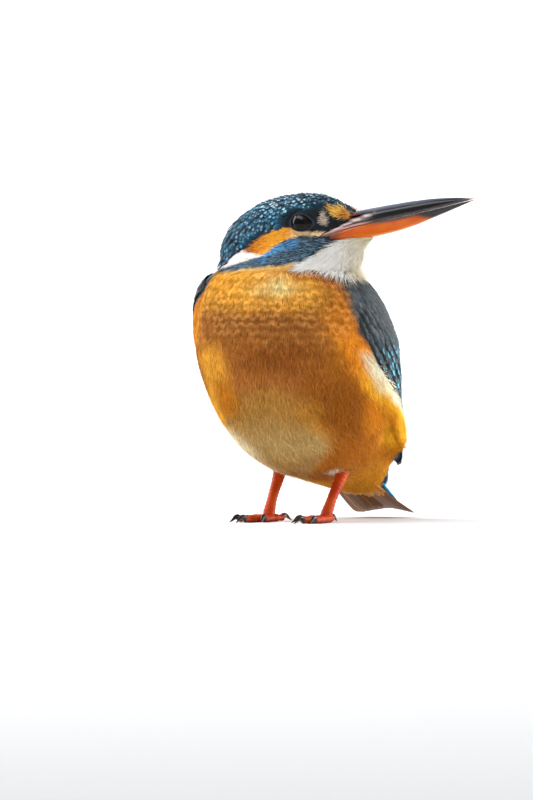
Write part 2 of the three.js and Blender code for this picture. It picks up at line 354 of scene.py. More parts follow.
def fill_scales(tree, given):
    """Rows of rounded feather tips round the breast: pale middles and darker gaps."""
    place = own_place(tree)
    # the rows run round an upright line behind the breast, and every other row is set half a scale aside
    from_feet = place_maths(tree, "SUBTRACT", place, tuple(ORIGIN))
    parts = node(tree, "ShaderNodeSeparateXYZ", {"Vector": from_feet}).outputs
    turn = maths(tree, "ARCTAN2", parts["X"], maths(tree, "SUBTRACT", BREAST_LINE * MM, parts["Y"]))
    waver = maths(tree, "MULTIPLY", noise(tree, place, 150.0, 1.0), 1.1)
    row = maths(tree, "ADD", maths(tree, "DIVIDE", parts["Z"], given["Row"]), waver)
    odd = maths(tree, "MODULO", maths(tree, "FLOOR", row), 2.0)
    column = maths(tree, "MULTIPLY_ADD", odd, 0.5, maths(tree, "MULTIPLY", turn, given["Columns"]))
    spot_place = node(tree, "ShaderNodeCombineXYZ", {"X": column, "Y": row}).outputs[0]
    loose = scaled(tree, noise(tree, place, 520.0, 3.0, "Color"), 0.38)
    spot_place = place_maths(tree, "ADD", spot_place, loose)
    cells = node(tree, "ShaderNodeTexVoronoi", {"Vector": spot_place, "Scale": 1.0, "Randomness": 0.32},
                 voronoi_dimensions="2D")
    spot = fade(tree, cells.outputs["Distance"], 0.15, 0.62, 1.0, 0.0)
    some = fade(tree, noise(tree, place, 260.0, 1.0), 0.35, 0.6)
    spot = maths(tree, "MULTIPLY", spot, maths(tree, "MULTIPLY_ADD", some, 0.6, 0.4))
    dark = scaled(tree, given["Colour"], 0.62)
    pale = blend(tree, 0.22, scaled(tree, given["Colour"], 1.3), given["Pale"])
    marked = blend(tree, given["Strength"], given["Colour"], blend(tree, spot, dark, pale))
    hair = noise(tree, place_maths(tree, "MULTIPLY", place, (1.0, 1.0, 0.2)), 1900.0, 2.0)
    lift = maths(tree, "MULTIPLY_ADD", maths(tree, "SUBTRACT", hair, 0.5), given["Hair"], 1.0)
    return {"Colour": scaled(tree, marked, lift)}


SCALES = group(
    "breast_scales",
    [("Colour", COLOUR, GREY), ("Pale", COLOUR, (1.0, 0.62, 0.24, 1.0)), ("Strength", NUMBER, 0.0),
     ("Row", NUMBER, 0.0023), ("Columns", NUMBER, 10.5), ("Hair", NUMBER, 0.9)],
    [("Colour", COLOUR)],
    fill_scales,
)


def material(name, roughness, sheen=0.0, coat=0.0, specular=0.5, coat_roughness=0.1):
    made = bpy.data.materials.new(name)
    made.use_nodes = True
    shader = made.node_tree.nodes["Principled BSDF"]
    shader.inputs["Roughness"].default_value = roughness
    shader.inputs["Sheen Weight"].default_value = sheen
    shader.inputs["Coat Weight"].default_value = coat
    shader.inputs["Coat Roughness"].default_value = coat_roughness
    shader.inputs["Specular IOR Level"].default_value = specular
    return made, made.node_tree, shader


def painted(tree, name):
    return node(tree, "ShaderNodeVertexColor", layer_name=name).outputs


def colour_shader(tree, shader, colour, scale, amount):
    """Feeds the shader a colour with a mottle over it, and returns the mottle's grain."""
    mottled = use_group(tree, MOTTLE, Colour=colour, Scale=scale, Amount=amount).outputs
    tree.links.new(mottled["Colour"], shader.inputs["Base Color"])
    return mottled["Grain"]


def bump_shader(tree, shader, height, strength, distance):
    values = {"Height": height, "Strength": strength, "Distance": distance}
    tree.links.new(node(tree, "ShaderNodeBump", values).outputs["Normal"], shader.inputs["Normal"])


def scaly_colour(tree):
    """The painted colour, with the breast's scales as strong as its fourth number says."""
    colour = painted(tree, "Plume")
    return use_group(tree, SCALES, Colour=colour["Color"], Strength=colour["Alpha"]).outputs["Colour"]


def plume_material(name, roughness, specular, amount, scales):
    """Loose body feathers: the painted colour, lightly mottled, with or without scales."""
    made, tree, shader = material(name, roughness, specular=specular)
    colour = scaly_colour(tree) if scales else painted(tree, "Plume")["Color"]
    colour_shader(tree, shader, colour, 1400.0, amount)
    return made


def vane_material(name, roughness, specular, barbs, stretch, depth, rim):
    """Smooth webbed feathers, marked from their own along and across."""
    made, tree, shader = material(name, roughness, sheen=0.05, specular=specular)
    own = node(tree, "ShaderNodeUVMap", uv_map="Vane").outputs["UV"]
    parts = node(tree, "ShaderNodeSeparateXYZ", {"Vector": own}).outputs
    mark = painted(tree, "Mark")
    web = use_group(
        tree, VANE, Base=painted(tree, "Plume")["Color"], Mark=mark["Color"], Mark_Size=mark["Alpha"],
        Along=parts["Y"], Across=parts["X"], Barbs=barbs, Stretch=stretch, Barb_Depth=depth, Rim=rim,
    ).outputs
    colour_shader(tree, shader, web["Colour"], 900.0, 0.3)
    bump_shader(tree, shader, web["Height"], 0.35, 0.00008)
    return made


def skin_material():
    """The skin under the coat, with the coat's own markings."""
    made, tree, shader = material("skin", 0.8, specular=0.15)
    grain = colour_shader(tree, shader, scaly_colour(tree), 700.0, 0.35)
    bump_shader(tree, shader, grain, 0.5, 0.0002)
    return made


def horn_material(name, roughness, **looks):
    """Bill, claws and legs: the painted colour with faint wear."""
    made, tree, shader = material(name, roughness, **looks)
    grain = colour_shader(tree, shader, painted(tree, "Plume")["Color"], 500.0, 0.25)
    bump_shader(tree, shader, grain, 0.25, 0.0001)
    return made


def eye_material():
    made, tree, shader = material("eye_gloss", 0.08, specular=0.15)
    colour_shader(tree, shader, painted(tree, "Plume")["Color"], 1500.0, 0.4)
    return made


SKIN = skin_material()
DOWN = plume_material("body_plumes", 0.8, 0.01, 0.22, True)
FINE = plume_material("face_plumes", 0.68, 0.1, 0.25, False)
CROWN_WEB = vane_material("crown_web", 0.5, 0.12, 40.0, 2.1, 0.16, 0.25)
WING_WEB = vane_material("wing_web", 0.5, 0.2, 64.0, 1.2, 0.34, 0.4)
HORN = horn_material("bill_horn", 0.24, coat=0.03, coat_roughness=0.12, specular=0.24)
LEG = horn_material("leg_scales", 0.5, coat=0.02, coat_roughness=0.25, specular=0.2)
EYE = eye_material()


# ---------- markings ----------
# Where the bands on the side of the head begin and end: heights over x, for both sides alike.
EAR_TOP = ([-19, -14.8, -10.9, -8.6, -6.1, -2.4, 0.8, 4.3, 7.5, 10, 15, 18],
           [71, 74.4, 76.9, 77.9, 79.5, 81.6, 83.0, 83.8, 83.1, 82.7, 82.5, 83.4])
MALAR_TOP = ([-17, -15.9, -10.6, -6, -1.4, 0.6, 3.3, 6.5, 9.6, 15.1, 19],
             [72.2, 72.4, 73.3, 74.8, 75.9, 77.5, 79.5, 80.9, 81.3, 81.3, 81.8])
MALAR_BOTTOM = ([-17, -12, -7.1, -1.9, 2.6, 6.7, 11.1, 13.6, 15.2, 16.5, 18.4, 21],
                [70.6, 71.0, 71.8, 72.3, 72.7, 73.1, 74, 75.6, 77.2, 78.7, 79.8, 81])
# Where the orange front ends and the blue side begins: y over height.
SIDE_EDGE = ([12, 16, 20, 23, 26, 28, 31, 33.5, 36, 39, 44.7, 50.4, 54.7, 63.3, 70, 73],
             [32, 32, 32, 31.5, 30, 27.5, 21.5, 14, 8.5, 3.0, -3.5, -7.5, -9.8, -12.2, -11.5, -8])

C_CROWN = rgb(17, 32, 42)
C_BLACK = rgb(16, 17, 20)
C_AZURE = rgb(88, 170, 214)
C_PALE_SPOT = rgb(196, 216, 224)
C_LINE = rgb(252, 210, 156)
C_WHITE = rgb(252, 249, 242)
# painted shade and warm reflection on the white throat
C_THROAT_SHADE = rgb(214, 198, 148)
C_SLATE = rgb(52, 68, 81)
C_COBALT = rgb(52, 104, 146)
C_GOLD = rgb(240, 160, 48)
C_ORANGE = rgb(208, 142, 44)
C_RUFOUS = rgb(120, 62, 12)
C_DEEP = rgb(126, 68, 4)
C_BACK = rgb(30, 150, 200)
C_RUMP = rgb(60, 180, 224)
C_WING = rgb(16, 46, 58)
C_WING_GLOSS = rgb(34, 98, 112)
C_QUILL = rgb(28, 34, 42)
C_TAIL = rgb(24, 62, 104)


def curve(table, x):
    return np.interp(x, table[0], table[1])


def on_head(p):
    """How much each point belongs to the head: 1 above the crease of the neck."""
    x, y, z = p.T
    crease = 71.6 + 0.03 * np.abs(x) - 1.6 * step(16, 22, x) - 1.2 * step(2, 14, y)
    return step(-0.35, 0.35, z - crease)


def behind_edge(p):
    """Distance behind the line where the orange front meets the blue side."""
    x, y, z = p.T
    by_tip = 1.6 * step(8.5, 10.5, np.abs(x)) * (1 - step(22, 26, z))
    far_shoulder = 3.5 * step(-12, -20, x) * step(40, 48, z) * (1 - step(62, 67, z))
    return y - curve(SIDE_EDGE, z) + by_tip - far_shoulder


def round_breast(x, y):
    """Degrees round the upright line behind the breast: 0 straight ahead, more to the bird's left."""
    return np.degrees(np.arctan2(x, BREAST_LINE - y))


def wobble(p, size, seed):
    """A smooth wavering between -1 and 1 over the body."""
    a = p / size + seed * np.array([1.7, 3.1, 2.3])
    waves = np.sin(a[:, 0] + 1.3 * np.sin(a[:, 1])) + np.sin(1.3 * a[:, 1] + 1.1 * np.sin(a[:, 2]))
    return (waves + np.sin(1.7 * a[:, 2] + np.sin(a[:, 0]))) / 3


def head_colours(p):
    """Root and tip colours of the head's feathers."""
    x, y, z = p.T
    out = np.abs(y - HEAD_MIDDLE)
    w = wobble(p, 1.1, 1)
    # the black round the eye and over the lores
    orbit = np.sqrt(((x - 9.8) / 6.2) ** 2 + ((z - 85.6) / 4.3) ** 2)
    dark = np.maximum(1 - step(0.8, 1.15, orbit), step(12, 14, x) * (1 - step(86.5, 89, z)))
    dark = dark * step(3, 6, out)
    # bristly orange patch between the eye and the nostril, and the pale spot behind it
    slide = (x - 18.4) * 0.94 - (z - 88.3) * 0.34
    rise = (x - 18.4) * 0.34 + (z - 88.3) * 0.94
    patch = np.sqrt((slide / 4.6) ** 2 + (rise / 1.75) ** 2) + 0.12 * w
    lore = (1 - step(0.75, 1.1, patch)) * step(1.5, 3.2, out)
    across_spot = (x - 14.4 + 0.25 * (z - 86.2)) / (1.15 - 0.12 * (z - 86.2))
    spot = np.sqrt(across_spot**2 + ((z - 86.2) / 2.1) ** 2) + 0.16 * w
    pale = (1 - step(0.7, 1.15, spot)) * step(4, 6, out)
    # ear coverts, with the thin line under the eye, and the white patch behind
    ear = step(-0.3, 0.3, curve(EAR_TOP, x) - z + 0.3 * w) * step(-0.3, 0.3, z - curve(MALAR_TOP, x))
    ear = ear * step(3, 5, out)
    rust = mix(rgb(200, 112, 30), rgb(238, 158, 44), step(-9, 2, x))
    shade = mix(rust, C_LINE, step(4.5, 8.5, x))
    back = step(-0.5, 0.5, -(x + 8.4) * 0.19 - (z - 77.1) + 0.4 * w) * (1 - step(-1.5, -0.3, x)) * ear
    # the blue stripe from the gape to the side of the neck
    under = step(-0.3, 0.3, curve(MALAR_TOP, x) - z + 0.25 * w)
    malar = under * step(-0.4, 0.4, z - curve(MALAR_BOTTOM, x) + 0.4 * w) * step(4, 6, out)
    bright = 0.0
    for amount, reach in (
        (1.0, np.hypot((x - 1.5) / 5.5, (z - 77.3 - 0.35 * (x - 1.5)) / 1.6)),
        (0.8, np.hypot((x - 7) / 2.6, (z - 79) / 1.9)),
        (0.7, np.hypot((x + 1.5) / 2.6, (z - 74.4) / 0.8)),
    ):
        bright = np.maximum(bright, amount * (1 - step(0.5, 1.2, reach)))
    blue = mix(C_SLATE, C_COBALT, bright)
    # white chin and throat, with painted shade and a warm painted reflection along the throat's front, and
    # gold where the neck meets the breast
    below = step(-0.4, 0.4, curve(MALAR_BOTTOM, x) - z + 0.35 * w)
    throat = np.maximum(below * step(7.5, 11, x), under * (1 - step(4, 6, out)))
    # painted shade and a warm painted reflection along the throat's front
    throat_shade = step(15, 26, x + 0.2 * (76 - z) + 0.8 * w) * (1 - step(3.5, 8.0, out)) * 0.95
    low = below * (1 - step(7.5, 11, x)) * (1 - step(-12, -6, y))
    layers = (  # how much, root colour, tip colour
        (dark, C_BLACK, rgb(40, 50, 56)),
        (lore, rgb(146, 70, 10), rgb(255, 194, 92)),
        (pale, rgb(134, 116, 98), rgb(222, 206, 186)),
        (ear, shade * 0.8, shade * 1.12),
        (back, C_WHITE * 0.9, C_WHITE),
        (malar, blue * 0.35, blue),
        (throat, mix(C_WHITE * 0.92, C_THROAT_SHADE, throat_shade), mix(C_WHITE, C_THROAT_SHADE, throat_shade * 0.6)),
        (low, C_GOLD * 0.6, rgb(255, 206, 124)),
    )
    base = layered(C_CROWN, *((root, amount) for amount, root, _ in layers))
    tip = layered(mix(C_CROWN, C_AZURE, 0.1), *((end, amount) for amount, _, end in layers))
    return base, tip


def scaly(p):
    """How strongly the breast's scales show at each point."""
    x, y, z = p.T
    turn = round_breast(x, y)
    strength = step(47, 57, z) * (1 - step(46, 62, np.abs(turn - 4))) * (1 - 0.2 * step(63, 67, z))
    return (0.72 + 0.1 * step(56, 62, z)) * strength * (1 - on_head(p))


def body_colours(p):
    """Root and tip colours of the breast, belly and flanks, and of the slate over the shoulder."""
    x, y, z = p.T
    w = wobble(p, 4.0, 2)
    fine = wobble(p, 1.6, 5)
    turn = round_breast(x, y) + 4 * w
    high = z + 1.6 * w
    edge = behind_edge(p)
    # brown across the breast and down to the belly, a darker band between that is partly painted shade, gold
    # above, chestnut by the neck, and a painted shadow line in the crease under the throat
    upper = step(44, 50, high)
    middle = step(-20 - 14 * upper, -4 - 10 * upper, turn) * (1 - step(38, 52, turn))
    brown = np.maximum(middle, band(turn, (-52, -34), (38, 52)) * step(47, 52, high))
    gold = step(57, 66, high - 5 * step(-2, -26, turn) - 3 * step(22, 40, turn))
    gold = gold * (1 - step(30, 46, np.abs(turn - 2)))
    # painted highlight: a pale pool of light high on the breast
    painted_highlight = np.exp(-(((turn - 14) / 13) ** 2) - ((z - 66.8) / 2.8) ** 2 + 0.5 * fine)
    # the pale belly, its tan partly painted shade, darker where it begins and again under the bird, where
    # painted shade falls as it faces the floor
    limit = 32 + 22 * (1 - step(21, 34, z))
    start = -20 - 50 * (1 - step(24, 31, z))
    belly = (1 - step(33, 41, high)) * band(turn, (start - 8, start + 6), (limit - 14, limit + 12))
    belly = np.maximum(belly, (1 - step(13, 19, high)) * (1 - step(8, 16, y)))
    olive = layered(
        rgb(168, 136, 80),
        (rgb(158, 112, 48), step(22, 33, high)),
        (rgb(230, 208, 168), 0.85 * step(-10, -34, turn) * (1 - step(24, 31, high))),
        # painted shade under the bird, where the belly faces the floor
        (rgb(150, 110, 58), 1 - step(15, 21, high)),
    )
    right_spot = np.hypot((turn + 18) / 11, (z - 35.5) / 6.5) + 0.15 * fine
    # deep flanks, partly painted shade where they turn from the light, and a light edge along the wing that is
    # partly painted rim light from behind, palest where the wing leaves it
    further = 14 * (1 - step(24, 36, z))
    low = 22 * (1 - step(24, 33, z))
    side = step(18, 44, turn - low + 4 * fine) * (1 - step(62 + further, 84 + further, turn))
    side = side + 0.6 * band(-turn, (56, 72), (84, 100))
    reach = -13.5 - 8 * (1 - step(24, 34, z))
    rim = step(reach, -5.0, edge + 1.6 * fine) * band(z, (19, 25), (50, 56)) * (1 - 0.8 * step(0, -8, x))
    lip = step(-6.2, -2.2, edge + 1.0 * fine) * band(z, (26, 33), (45, 50)) * step(11.5, 13.5, np.abs(x))
    thigh = np.hypot(np.abs(x) - FOOT_OUT - 0.5, np.hypot(y - 4.5, z - 12.5))
    base = layered(
        C_ORANGE,
        (rgb(186, 108, 12), step(36, 56, turn)),
        (rgb(186, 112, 34), 0.85 * step(-36, -52, turn) * band(high, (34, 40), (66, 70))),
        (rgb(128, 70, 22), 0.85 * step(-28, -46, turn) * band(z, (34, 40), (48, 53))),
        (rgb(158, 94, 36), brown * band(high, (32, 38), (58, 65))),
        # the darker rufous band: partly the breast's own colour, partly painted shade
        (C_RUFOUS, 0.75 * bell(high, 46, 4.2) * band(turn, (-12, 10), (20, 44))),
        (C_GOLD, gold),
        # painted highlight high on the breast
        (rgb(255, 222, 150), np.clip(0.7 * painted_highlight, 0, 1)),
        (rgb(212, 124, 34), 0.8 * step(34, 48, turn) * band(z, (49, 54), (63, 67))),
        (rgb(176, 98, 46), 0.85 * step(62, 67, high) * step(34, 46, turn)),
        # painted shadow: a dark line in the crease under the throat's fringe
        (rgb(140, 70, 26), 0.85 * bell(z, 70.4, 1.1) * step(6, 26, turn)),
        (olive, belly),
        (rgb(178, 104, 12), 0.85 * (1 - step(0.4, 1.3, right_spot))),
        # deep flanks: partly their own colour, partly painted shade where the flank turns from the light
        (C_DEEP, 0.92 * side * step(16, 26, z) * (1 - step(38, 46, high))),
        (rgb(146, 82, 10), 0.75 * step(38, 60, turn) * (1 - step(22, 29, z))),
        # deep brown-orange band on the flank: partly painted shade where it turns from the light
        (rgb(140, 78, 14), 0.7 * band(turn, (28, 44), (64, 76)) * band(z, (34, 40), (47, 53))),
        # a brighter orange edge along the wing: partly its own colour, partly painted rim light from behind
        (mix(rgb(250, 172, 40), rgb(230, 136, 30), step(38, 46, z)), 0.95 * rim),
        (rgb(255, 236, 200), 0.9 * lip),
        (rgb(192, 126, 32), 0.9 * (1 - step(13, 21, z)) * step(9, 17, y)),
        (rgb(240, 230, 206), 0.9 * (1 - step(2.0, 4.0, thigh))),  # pale tufts over the tops of the legs
    )
    slate = step(-3.0, -0.4, edge + 0.8 * fine) * step(48, 53, z)
    return mix(base * 0.8, rgb(30, 36, 42), slate), mix(base * 1.27 + 0.008, rgb(92, 92, 92), slate)


def underside(p):
    """1 under the bird, where the buff of the belly runs back to the tail."""
    x, y, z = p.T
    limit = np.interp(y, [10, 20, 26, 34, 44], [12.5, 13.5, 13.0, 10.0, 6.0])
    limit = limit + 12 * step(6.5, 10.5, np.abs(x)) * (1 - step(27.5, 31.5, y))
    return 1 - step(-0.7, 0.7, z - limit)


def back_colours(p):
    """Root and tip colours of the back: azure down the middle, dark green beside it, slate shoulders."""
    x, z = p[:, 0], p[:, 2]
    w = wobble(p, 3.0, 3)
    wide = np.interp(z, [16, 24, 50, 68], [8.5, 8.0, 6.4, 5.0])
    middle = 1 - step(-0.7, 1.3, np.abs(x) + 0.7 * w + 0.8 * wobble(p, 0.9, 7) - wide)
    shoulder = step(7, 12, np.abs(x)) * step(52, 60, z)
    base = mix(mix(C_WING, rgb(26, 32, 38), shoulder), C_BACK * 0.35, middle)
    gloss = mix(C_WING_GLOSS, rgb(92, 100, 104), shoulder)
    tip = mix(gloss, mix(C_BACK, C_RUMP, 1 - step(20, 50, z)), middle)
    return base, tip


def plumage(p, home=None):
    """Root and tip colours at points on the coat, for feathers whose roots are at home."""
    home = p if home is None else home
    head = on_head(home)
    blue = step(-0.6, 0.6, behind_edge(home)) * (1 - underside(home))
    return [
        mix(mix(front, back, blue), top, head)
        for top, front, back in zip(head_colours(p), body_colours(p), back_colours(p))
    ]


# ---------- the skin ----------
COAT_DEPTH = 1.0
VOXEL = 0.85  # grain of the remeshed skin
WING_TREES = [solid_tree(name) for name in ("wing_left", "wing_right")]


def on_wing(p):
    """1 where a point lies on either wing's solid."""
    near = [np.array([tree.find_nearest(q)[3] for q in p.tolist()]) for tree in WING_TREES]
    return step(1.2, 0.5, np.minimum(*near))


LID_OUT = 11.0  # how far the lids stand out from the head's plane of symmetry


def coat_depth(p):
    """How thick the coat is over each point: thin on the face, thick on the body."""
    x, y, z = p.T
    head = on_head(p)
    face = step(0, 12, x)
    throat = step(0, 2, curve(MALAR_BOTTOM, x) - z) * step(6, 10, x)
    chin = step(16, 21, x) * step(81, 78, z) * (1 - step(4, 7, np.abs(y - HEAD_MIDDLE)))
    depth = COAT_DEPTH * (1 - head) + head * (0.6 - 0.1 * face + 0.9 * throat + 1.3 * chin)
    depth = depth * (1 - 0.5 * on_wing(p))
    from_eye = np.stack([x - EYE_PLACE[0], np.abs(y - HEAD_MIDDLE) - LID_OUT, z - EYE_PLACE[2]], 1)
    return depth + 0.55 * (1 - step(2.5, 6.0, np.linalg.norm(from_eye, axis=1)))


LID_WIDE, LID_HIGH, LID_LIFT = 3.35, 2.4, 0.2  # half the opening each way, and its rise over the middle


def lid_gap(p):
    """1 at the rim of an eye's opening, less inside it, with the corners drawn out a little."""
    x = (p[:, 0] - EYE_PLACE[0] - 0.1) / LID_WIDE
    z = (p[:, 2] - EYE_PLACE[2] - LID_LIFT + 0.05 * (p[:, 0] - EYE_PLACE[0])) / LID_HIGH
    return np.hypot(x, z)


def shape_lids(bm):
    """Finer skin round each eye, drawn over the ball as two lids with a rim."""
    for _ in range(2):
        near = []
        for edge in bm.edges:
            p = in_bird((edge.verts[0].co + edge.verts[1].co) / 2)
            if abs(p[1] - HEAD_MIDDLE) > 5 and np.hypot(p[0] - EYE_PLACE[0], p[2] - EYE_PLACE[2]) < 5.2:
                near.append(edge)
        bmesh.ops.subdivide_edges(bm, edges=near, cuts=1, use_grid_fill=True)
    p = in_bird([v.co[:] for v in bm.verts])
    side = np.sign(p[:, 1] - HEAD_MIDDLE)
    out = np.abs(p[:, 1] - HEAD_MIDDLE)
    ring = np.hypot(p[:, 0] - EYE_PLACE[0], p[:, 2] - EYE_PLACE[2])
    gap = lid_gap(p)
    ball = EYE_OUT + np.sqrt(np.clip(EYE_RADIUS**2 - ring**2, 0, None))
    rim = 0.34 * bell(gap, 1.12, 0.13) + 0.2
    lid = ball + rim * step(0.97, 1.03, gap) - 0.5 * step(1.03, 0.9, gap)
    blend_in = step(5.0, 3.5, ring) * (out > 5)
    target = np.where(gap < 1.0, lid, np.maximum(lid, out - 0.2))
    moved = out + (target - out) * blend_in
    p[:, 1] = HEAD_MIDDLE + side * moved
    place_verts(bm.verts, in_row(p))


def relax(bm, times):
    all_ways = dict(use_axis_x=True, use_axis_y=True, use_axis_z=True)
    for _ in range(times):
        bmesh.ops.smooth_vert(bm, verts=bm.verts, factor=0.5, **all_ways)


# Lumps that fill the hollows between the solids before they are joined: place, and radius each way.
FILLERS = [
    ((16.5, HEAD_MIDDLE, 83.4), (6.5, 5.2, 4.2)),
    ((0, 27, 14.6), (6, 8, 2.4)),
    ((0, 34, 11.2), (8, 7, 1.6)),
    ((17.6, HEAD_MIDDLE, 86.4), (6.0, 3.6, 3.5)),
    ((23.0, HEAD_MIDDLE, 80.3), (5.0, 3.4, 2.7)),
]
for _, side in SIDES:
    FILLERS += [
        ((15.2, HEAD_MIDDLE + side * 4.2, 84.9), (5.2, 2.7, 2.0)),
        ((17.6, HEAD_MIDDLE + side * 3.6, 86.9), (5.2, 2.8, 2.5)),
        ((EYE_PLACE[0], HEAD_MIDDLE + side * (EYE_OUT - 0.6), EYE_PLACE[2]), (3.4, 2.6, 3.4)),
        ((side * (FOOT_OUT + 1), 8, 15.5), (3, 3, 3.4)),
        ((side * 11.5, 30, 19.0), (3.0, 6.5, 4.5)),
        ((side * 13.4, 26.5, 23.5), (3.0, 6.0, 5.5)),
    ]


def make_skin():
    """One closed skin round the flesh solids, drawn in by the coat's depth."""
    bm = bmesh.new()
    for name in ("head", "neck", "trunk", "wing_left", "wing_right"):
        bm.from_mesh(NODES[name].data)
    bmesh.ops.remove_doubles(bm, verts=bm.verts, dist=0.02 * MM)
    for place, radii in FILLERS:
        shape = Matrix.Translation(Vector(in_row(place))) @ Matrix.Diagonal((*[r * MM for r in radii], 1))
        bmesh.ops.create_icosphere(bm, subdivisions=3, radius=1, matrix=shape)
    mesh = bpy.data.meshes.new("flesh")
    bm.to_mesh(mesh)
    bm.free()
    flesh = bpy.data.objects.new("flesh", mesh)
    bpy.context.scene.collection.objects.link(flesh)
    joiner = flesh.modifiers.new("join", "REMESH")
    joiner.mode = "VOXEL"
    joiner.voxel_size = VOXEL * MM
    bpy.context.view_layer.update()
    joined = bpy.data.meshes.new_from_object(flesh.evaluated_get(bpy.context.evaluated_depsgraph_get()))
    bpy.data.objects.remove(flesh)
    bm = bmesh.new()
    bm.from_mesh(joined)
    bpy.data.meshes.remove(joined)
    relax(bm, 6)
    bm.normal_update()
    places = in_bird([v.co[:] for v in bm.verts])
    normals = np.array([v.normal[:] for v in bm.verts])
    place_verts(bm.verts, in_row(places - normals * coat_depth(places)[:, None]))
    relax(bm, 5)
    shape_lids(bm)
    return smooth_mesh("skin", bm)


skin_mesh = make_skin()
skin = new_object("skin", skin_mesh, SKIN, "body_feathers", "head", "neck", "trunk")
bpy.context.view_layer.objects.active = skin
skin.select_set(True)
bpy.ops.object.mode_set(mode="EDIT")
bpy.ops.mesh.select_all(action="SELECT")
bpy.ops.uv.smart_project(angle_limit=math.radians(80), island_margin=0.002)
bpy.ops.object.mode_set(mode="OBJECT")
skin_mesh.uv_layers[0].name = "OFBake"

skin_points = points_of(skin_mesh)
skin_tris = triangles_of(skin_mesh)
skin_base, skin_tip = plumage(skin_points)
skin_colour = mix(skin_base, skin_tip, np.full(len(skin_points), 0.35)) * 0.8
at_lid = np.where(np.abs(skin_points[:, 1] - HEAD_MIDDLE) > 6, step(1.15, 1.05, lid_gap(skin_points)), 0.0)
skin_colour = mix(skin_colour, rgb(58, 68, 80), 0.6 * at_lid)
paint(skin_mesh, np.concatenate([skin_colour, scaly(skin_points)[:, None]], 1))
SKIN_TREE = tree_of(skin_points, skin_tris)
loops = np.empty(len(skin_mesh.loop_triangles) * 3, np.int32)
skin_mesh.loop_triangles.foreach_get("loops", loops)
loop_uv = np.empty(len(skin_mesh.loops) * 2)
skin_mesh.uv_layers[0].data.foreach_get("uv", loop_uv)
TRI_UV = loop_uv.reshape(-1, 2)[loops.reshape(-1, 3)]
TRI_POINTS = skin_points[skin_tris]
TRI_SQUARE = np.cross(TRI_POINTS[:, 1] - TRI_POINTS[:, 0], TRI_POINTS[:, 2] - TRI_POINTS[:, 0])
VERT_NORMALS = np.empty(len(skin_mesh.vertices) * 3)
skin_mesh.vertices.foreach_get("normal", VERT_NORMALS)
TRI_VERT_NORMALS = VERT_NORMALS.reshape(-1, 3)[skin_tris]


# ---------- the lie of the coat ----------
def lie(p, normal):
    """Which way the feathers point at each place: back from the bill and down to the tail."""
    x, y, z = p.T
    head = on_head(p)[:, None]
    one = np.ones(len(p))
    outward = 0.16 * np.sign(x) * step(4, 20, np.abs(x)) * step(30, 48, z)
    sweep = step(-7, -0.5, behind_edge(p)) * band(z, (26, 34), (56, 64))
    down = np.stack([outward, 0.3 + 1.3 * (1 - step(14, 44, z)) + 1.1 * sweep, -one], 1)
    over_back = np.stack([-0.01 * x, 0.8 * one, -0.7 * one], 1)
    body = mix(down, over_back, step(2, 14, y))
    nape = step(6, 20, -x)
    throat = step(0, 3, curve(MALAR_BOTTOM, x) - z) * step(6, 12, x)
    crown = np.stack([-one, 0.25 * nape * np.sign(y - HEAD_MIDDLE), -0.25 - nape - 0.75 * throat], 1)
    gap = (p - EYE_PLACE) * [1, 0, 1]
    away = np.linalg.norm(gap, axis=1)
    around = unit(gap) * (1 - step(2.6, 5.5, away))[:, None]
    return along_skin(normal, unit(body) * (1 - head) + (unit(crown) + 1.2 * around) * head)


class Roots:
    """Places where feathers grow: points, normals, ways and places on the skin's unwrap."""

    def __init__(self, points, normals, uv, ways=None):
        self.points, self.normals, self.uv = points, normals, uv
        self.ways = lie(points, normals) if ways is None else ways

    def pick(self, keep):
        return Roots(self.points[keep], self.normals[keep], self.uv[keep], self.ways[keep])

    def __len__(self):
        return len(self.points)


TRIES = 5.0  # places tried for each square of the spacing
AROUND = [(x, y, z) for x in (-1, 0, 1) for y in (-1, 0, 1) for z in (-1, 0, 1)]


def scatter(spacing, keep):
    """Roots spread evenly over the skin, at least spacing(points) apart, where keep(points) holds."""
    middles = TRI_POINTS.mean(1)
    gaps = spacing(middles)
    area = np.linalg.norm(TRI_SQUARE, axis=1) / 2
    counts = rng.poisson(TRIES * area / gaps**2 * keep(middles))
    tri = np.repeat(np.arange(len(counts)), counts)
    tri = tri[rng.permutation(len(tri))]
    a, b = rng.random(len(tri)), rng.random(len(tri))
    over = a + b > 1
    a[over], b[over] = 1 - a[over], 1 - b[over]
    weights = np.stack([1 - a - b, a, b], 1)
    points = np.einsum("nk,nkd->nd", weights, TRI_POINTS[tri])
    kept = spread(points, gaps[tri])
    normals = unit(np.einsum("nk,nkd->nd", weights[kept], TRI_VERT_NORMALS[tri[kept]]))
    uv = np.einsum("nk,nkd->nd", weights[kept], TRI_UV[tri[kept]])
    roots = Roots(points[kept], normals, uv)
    return roots.pick(keep(roots.points))


def spread(points, gaps):
    """Which points stay when each keeps its own distance from those before it."""
    keys = np.floor(points / gaps.max()).astype(int)
    taken = {}
    kept = []
    for i, (p, gap, key) in enumerate(zip(points.tolist(), (gaps**2).tolist(), keys.tolist())):
        x, y, z = key
        near = (q for dx, dy, dz in AROUND for q in taken.get((x + dx, y + dy, z + dz), ()))
        if all((p[0] - q[0]) ** 2 + (p[1] - q[1]) ** 2 + (p[2] - q[2]) ** 2 >= gap for q in near):
            taken.setdefault((x, y, z), []).append(p)
            kept.append(i)
    return np.array(kept, int)


def settle(points, tree=None):
    """The nearest places on the skin, and the normals there."""
    find = (tree or SKIN_TREE).find_nearest
    found = [find(p)[:2] for p in points.tolist()]
    places = np.array([f[0][:] for f in found])
    normals = np.array([f[1][:] for f in found])
    return places, normals


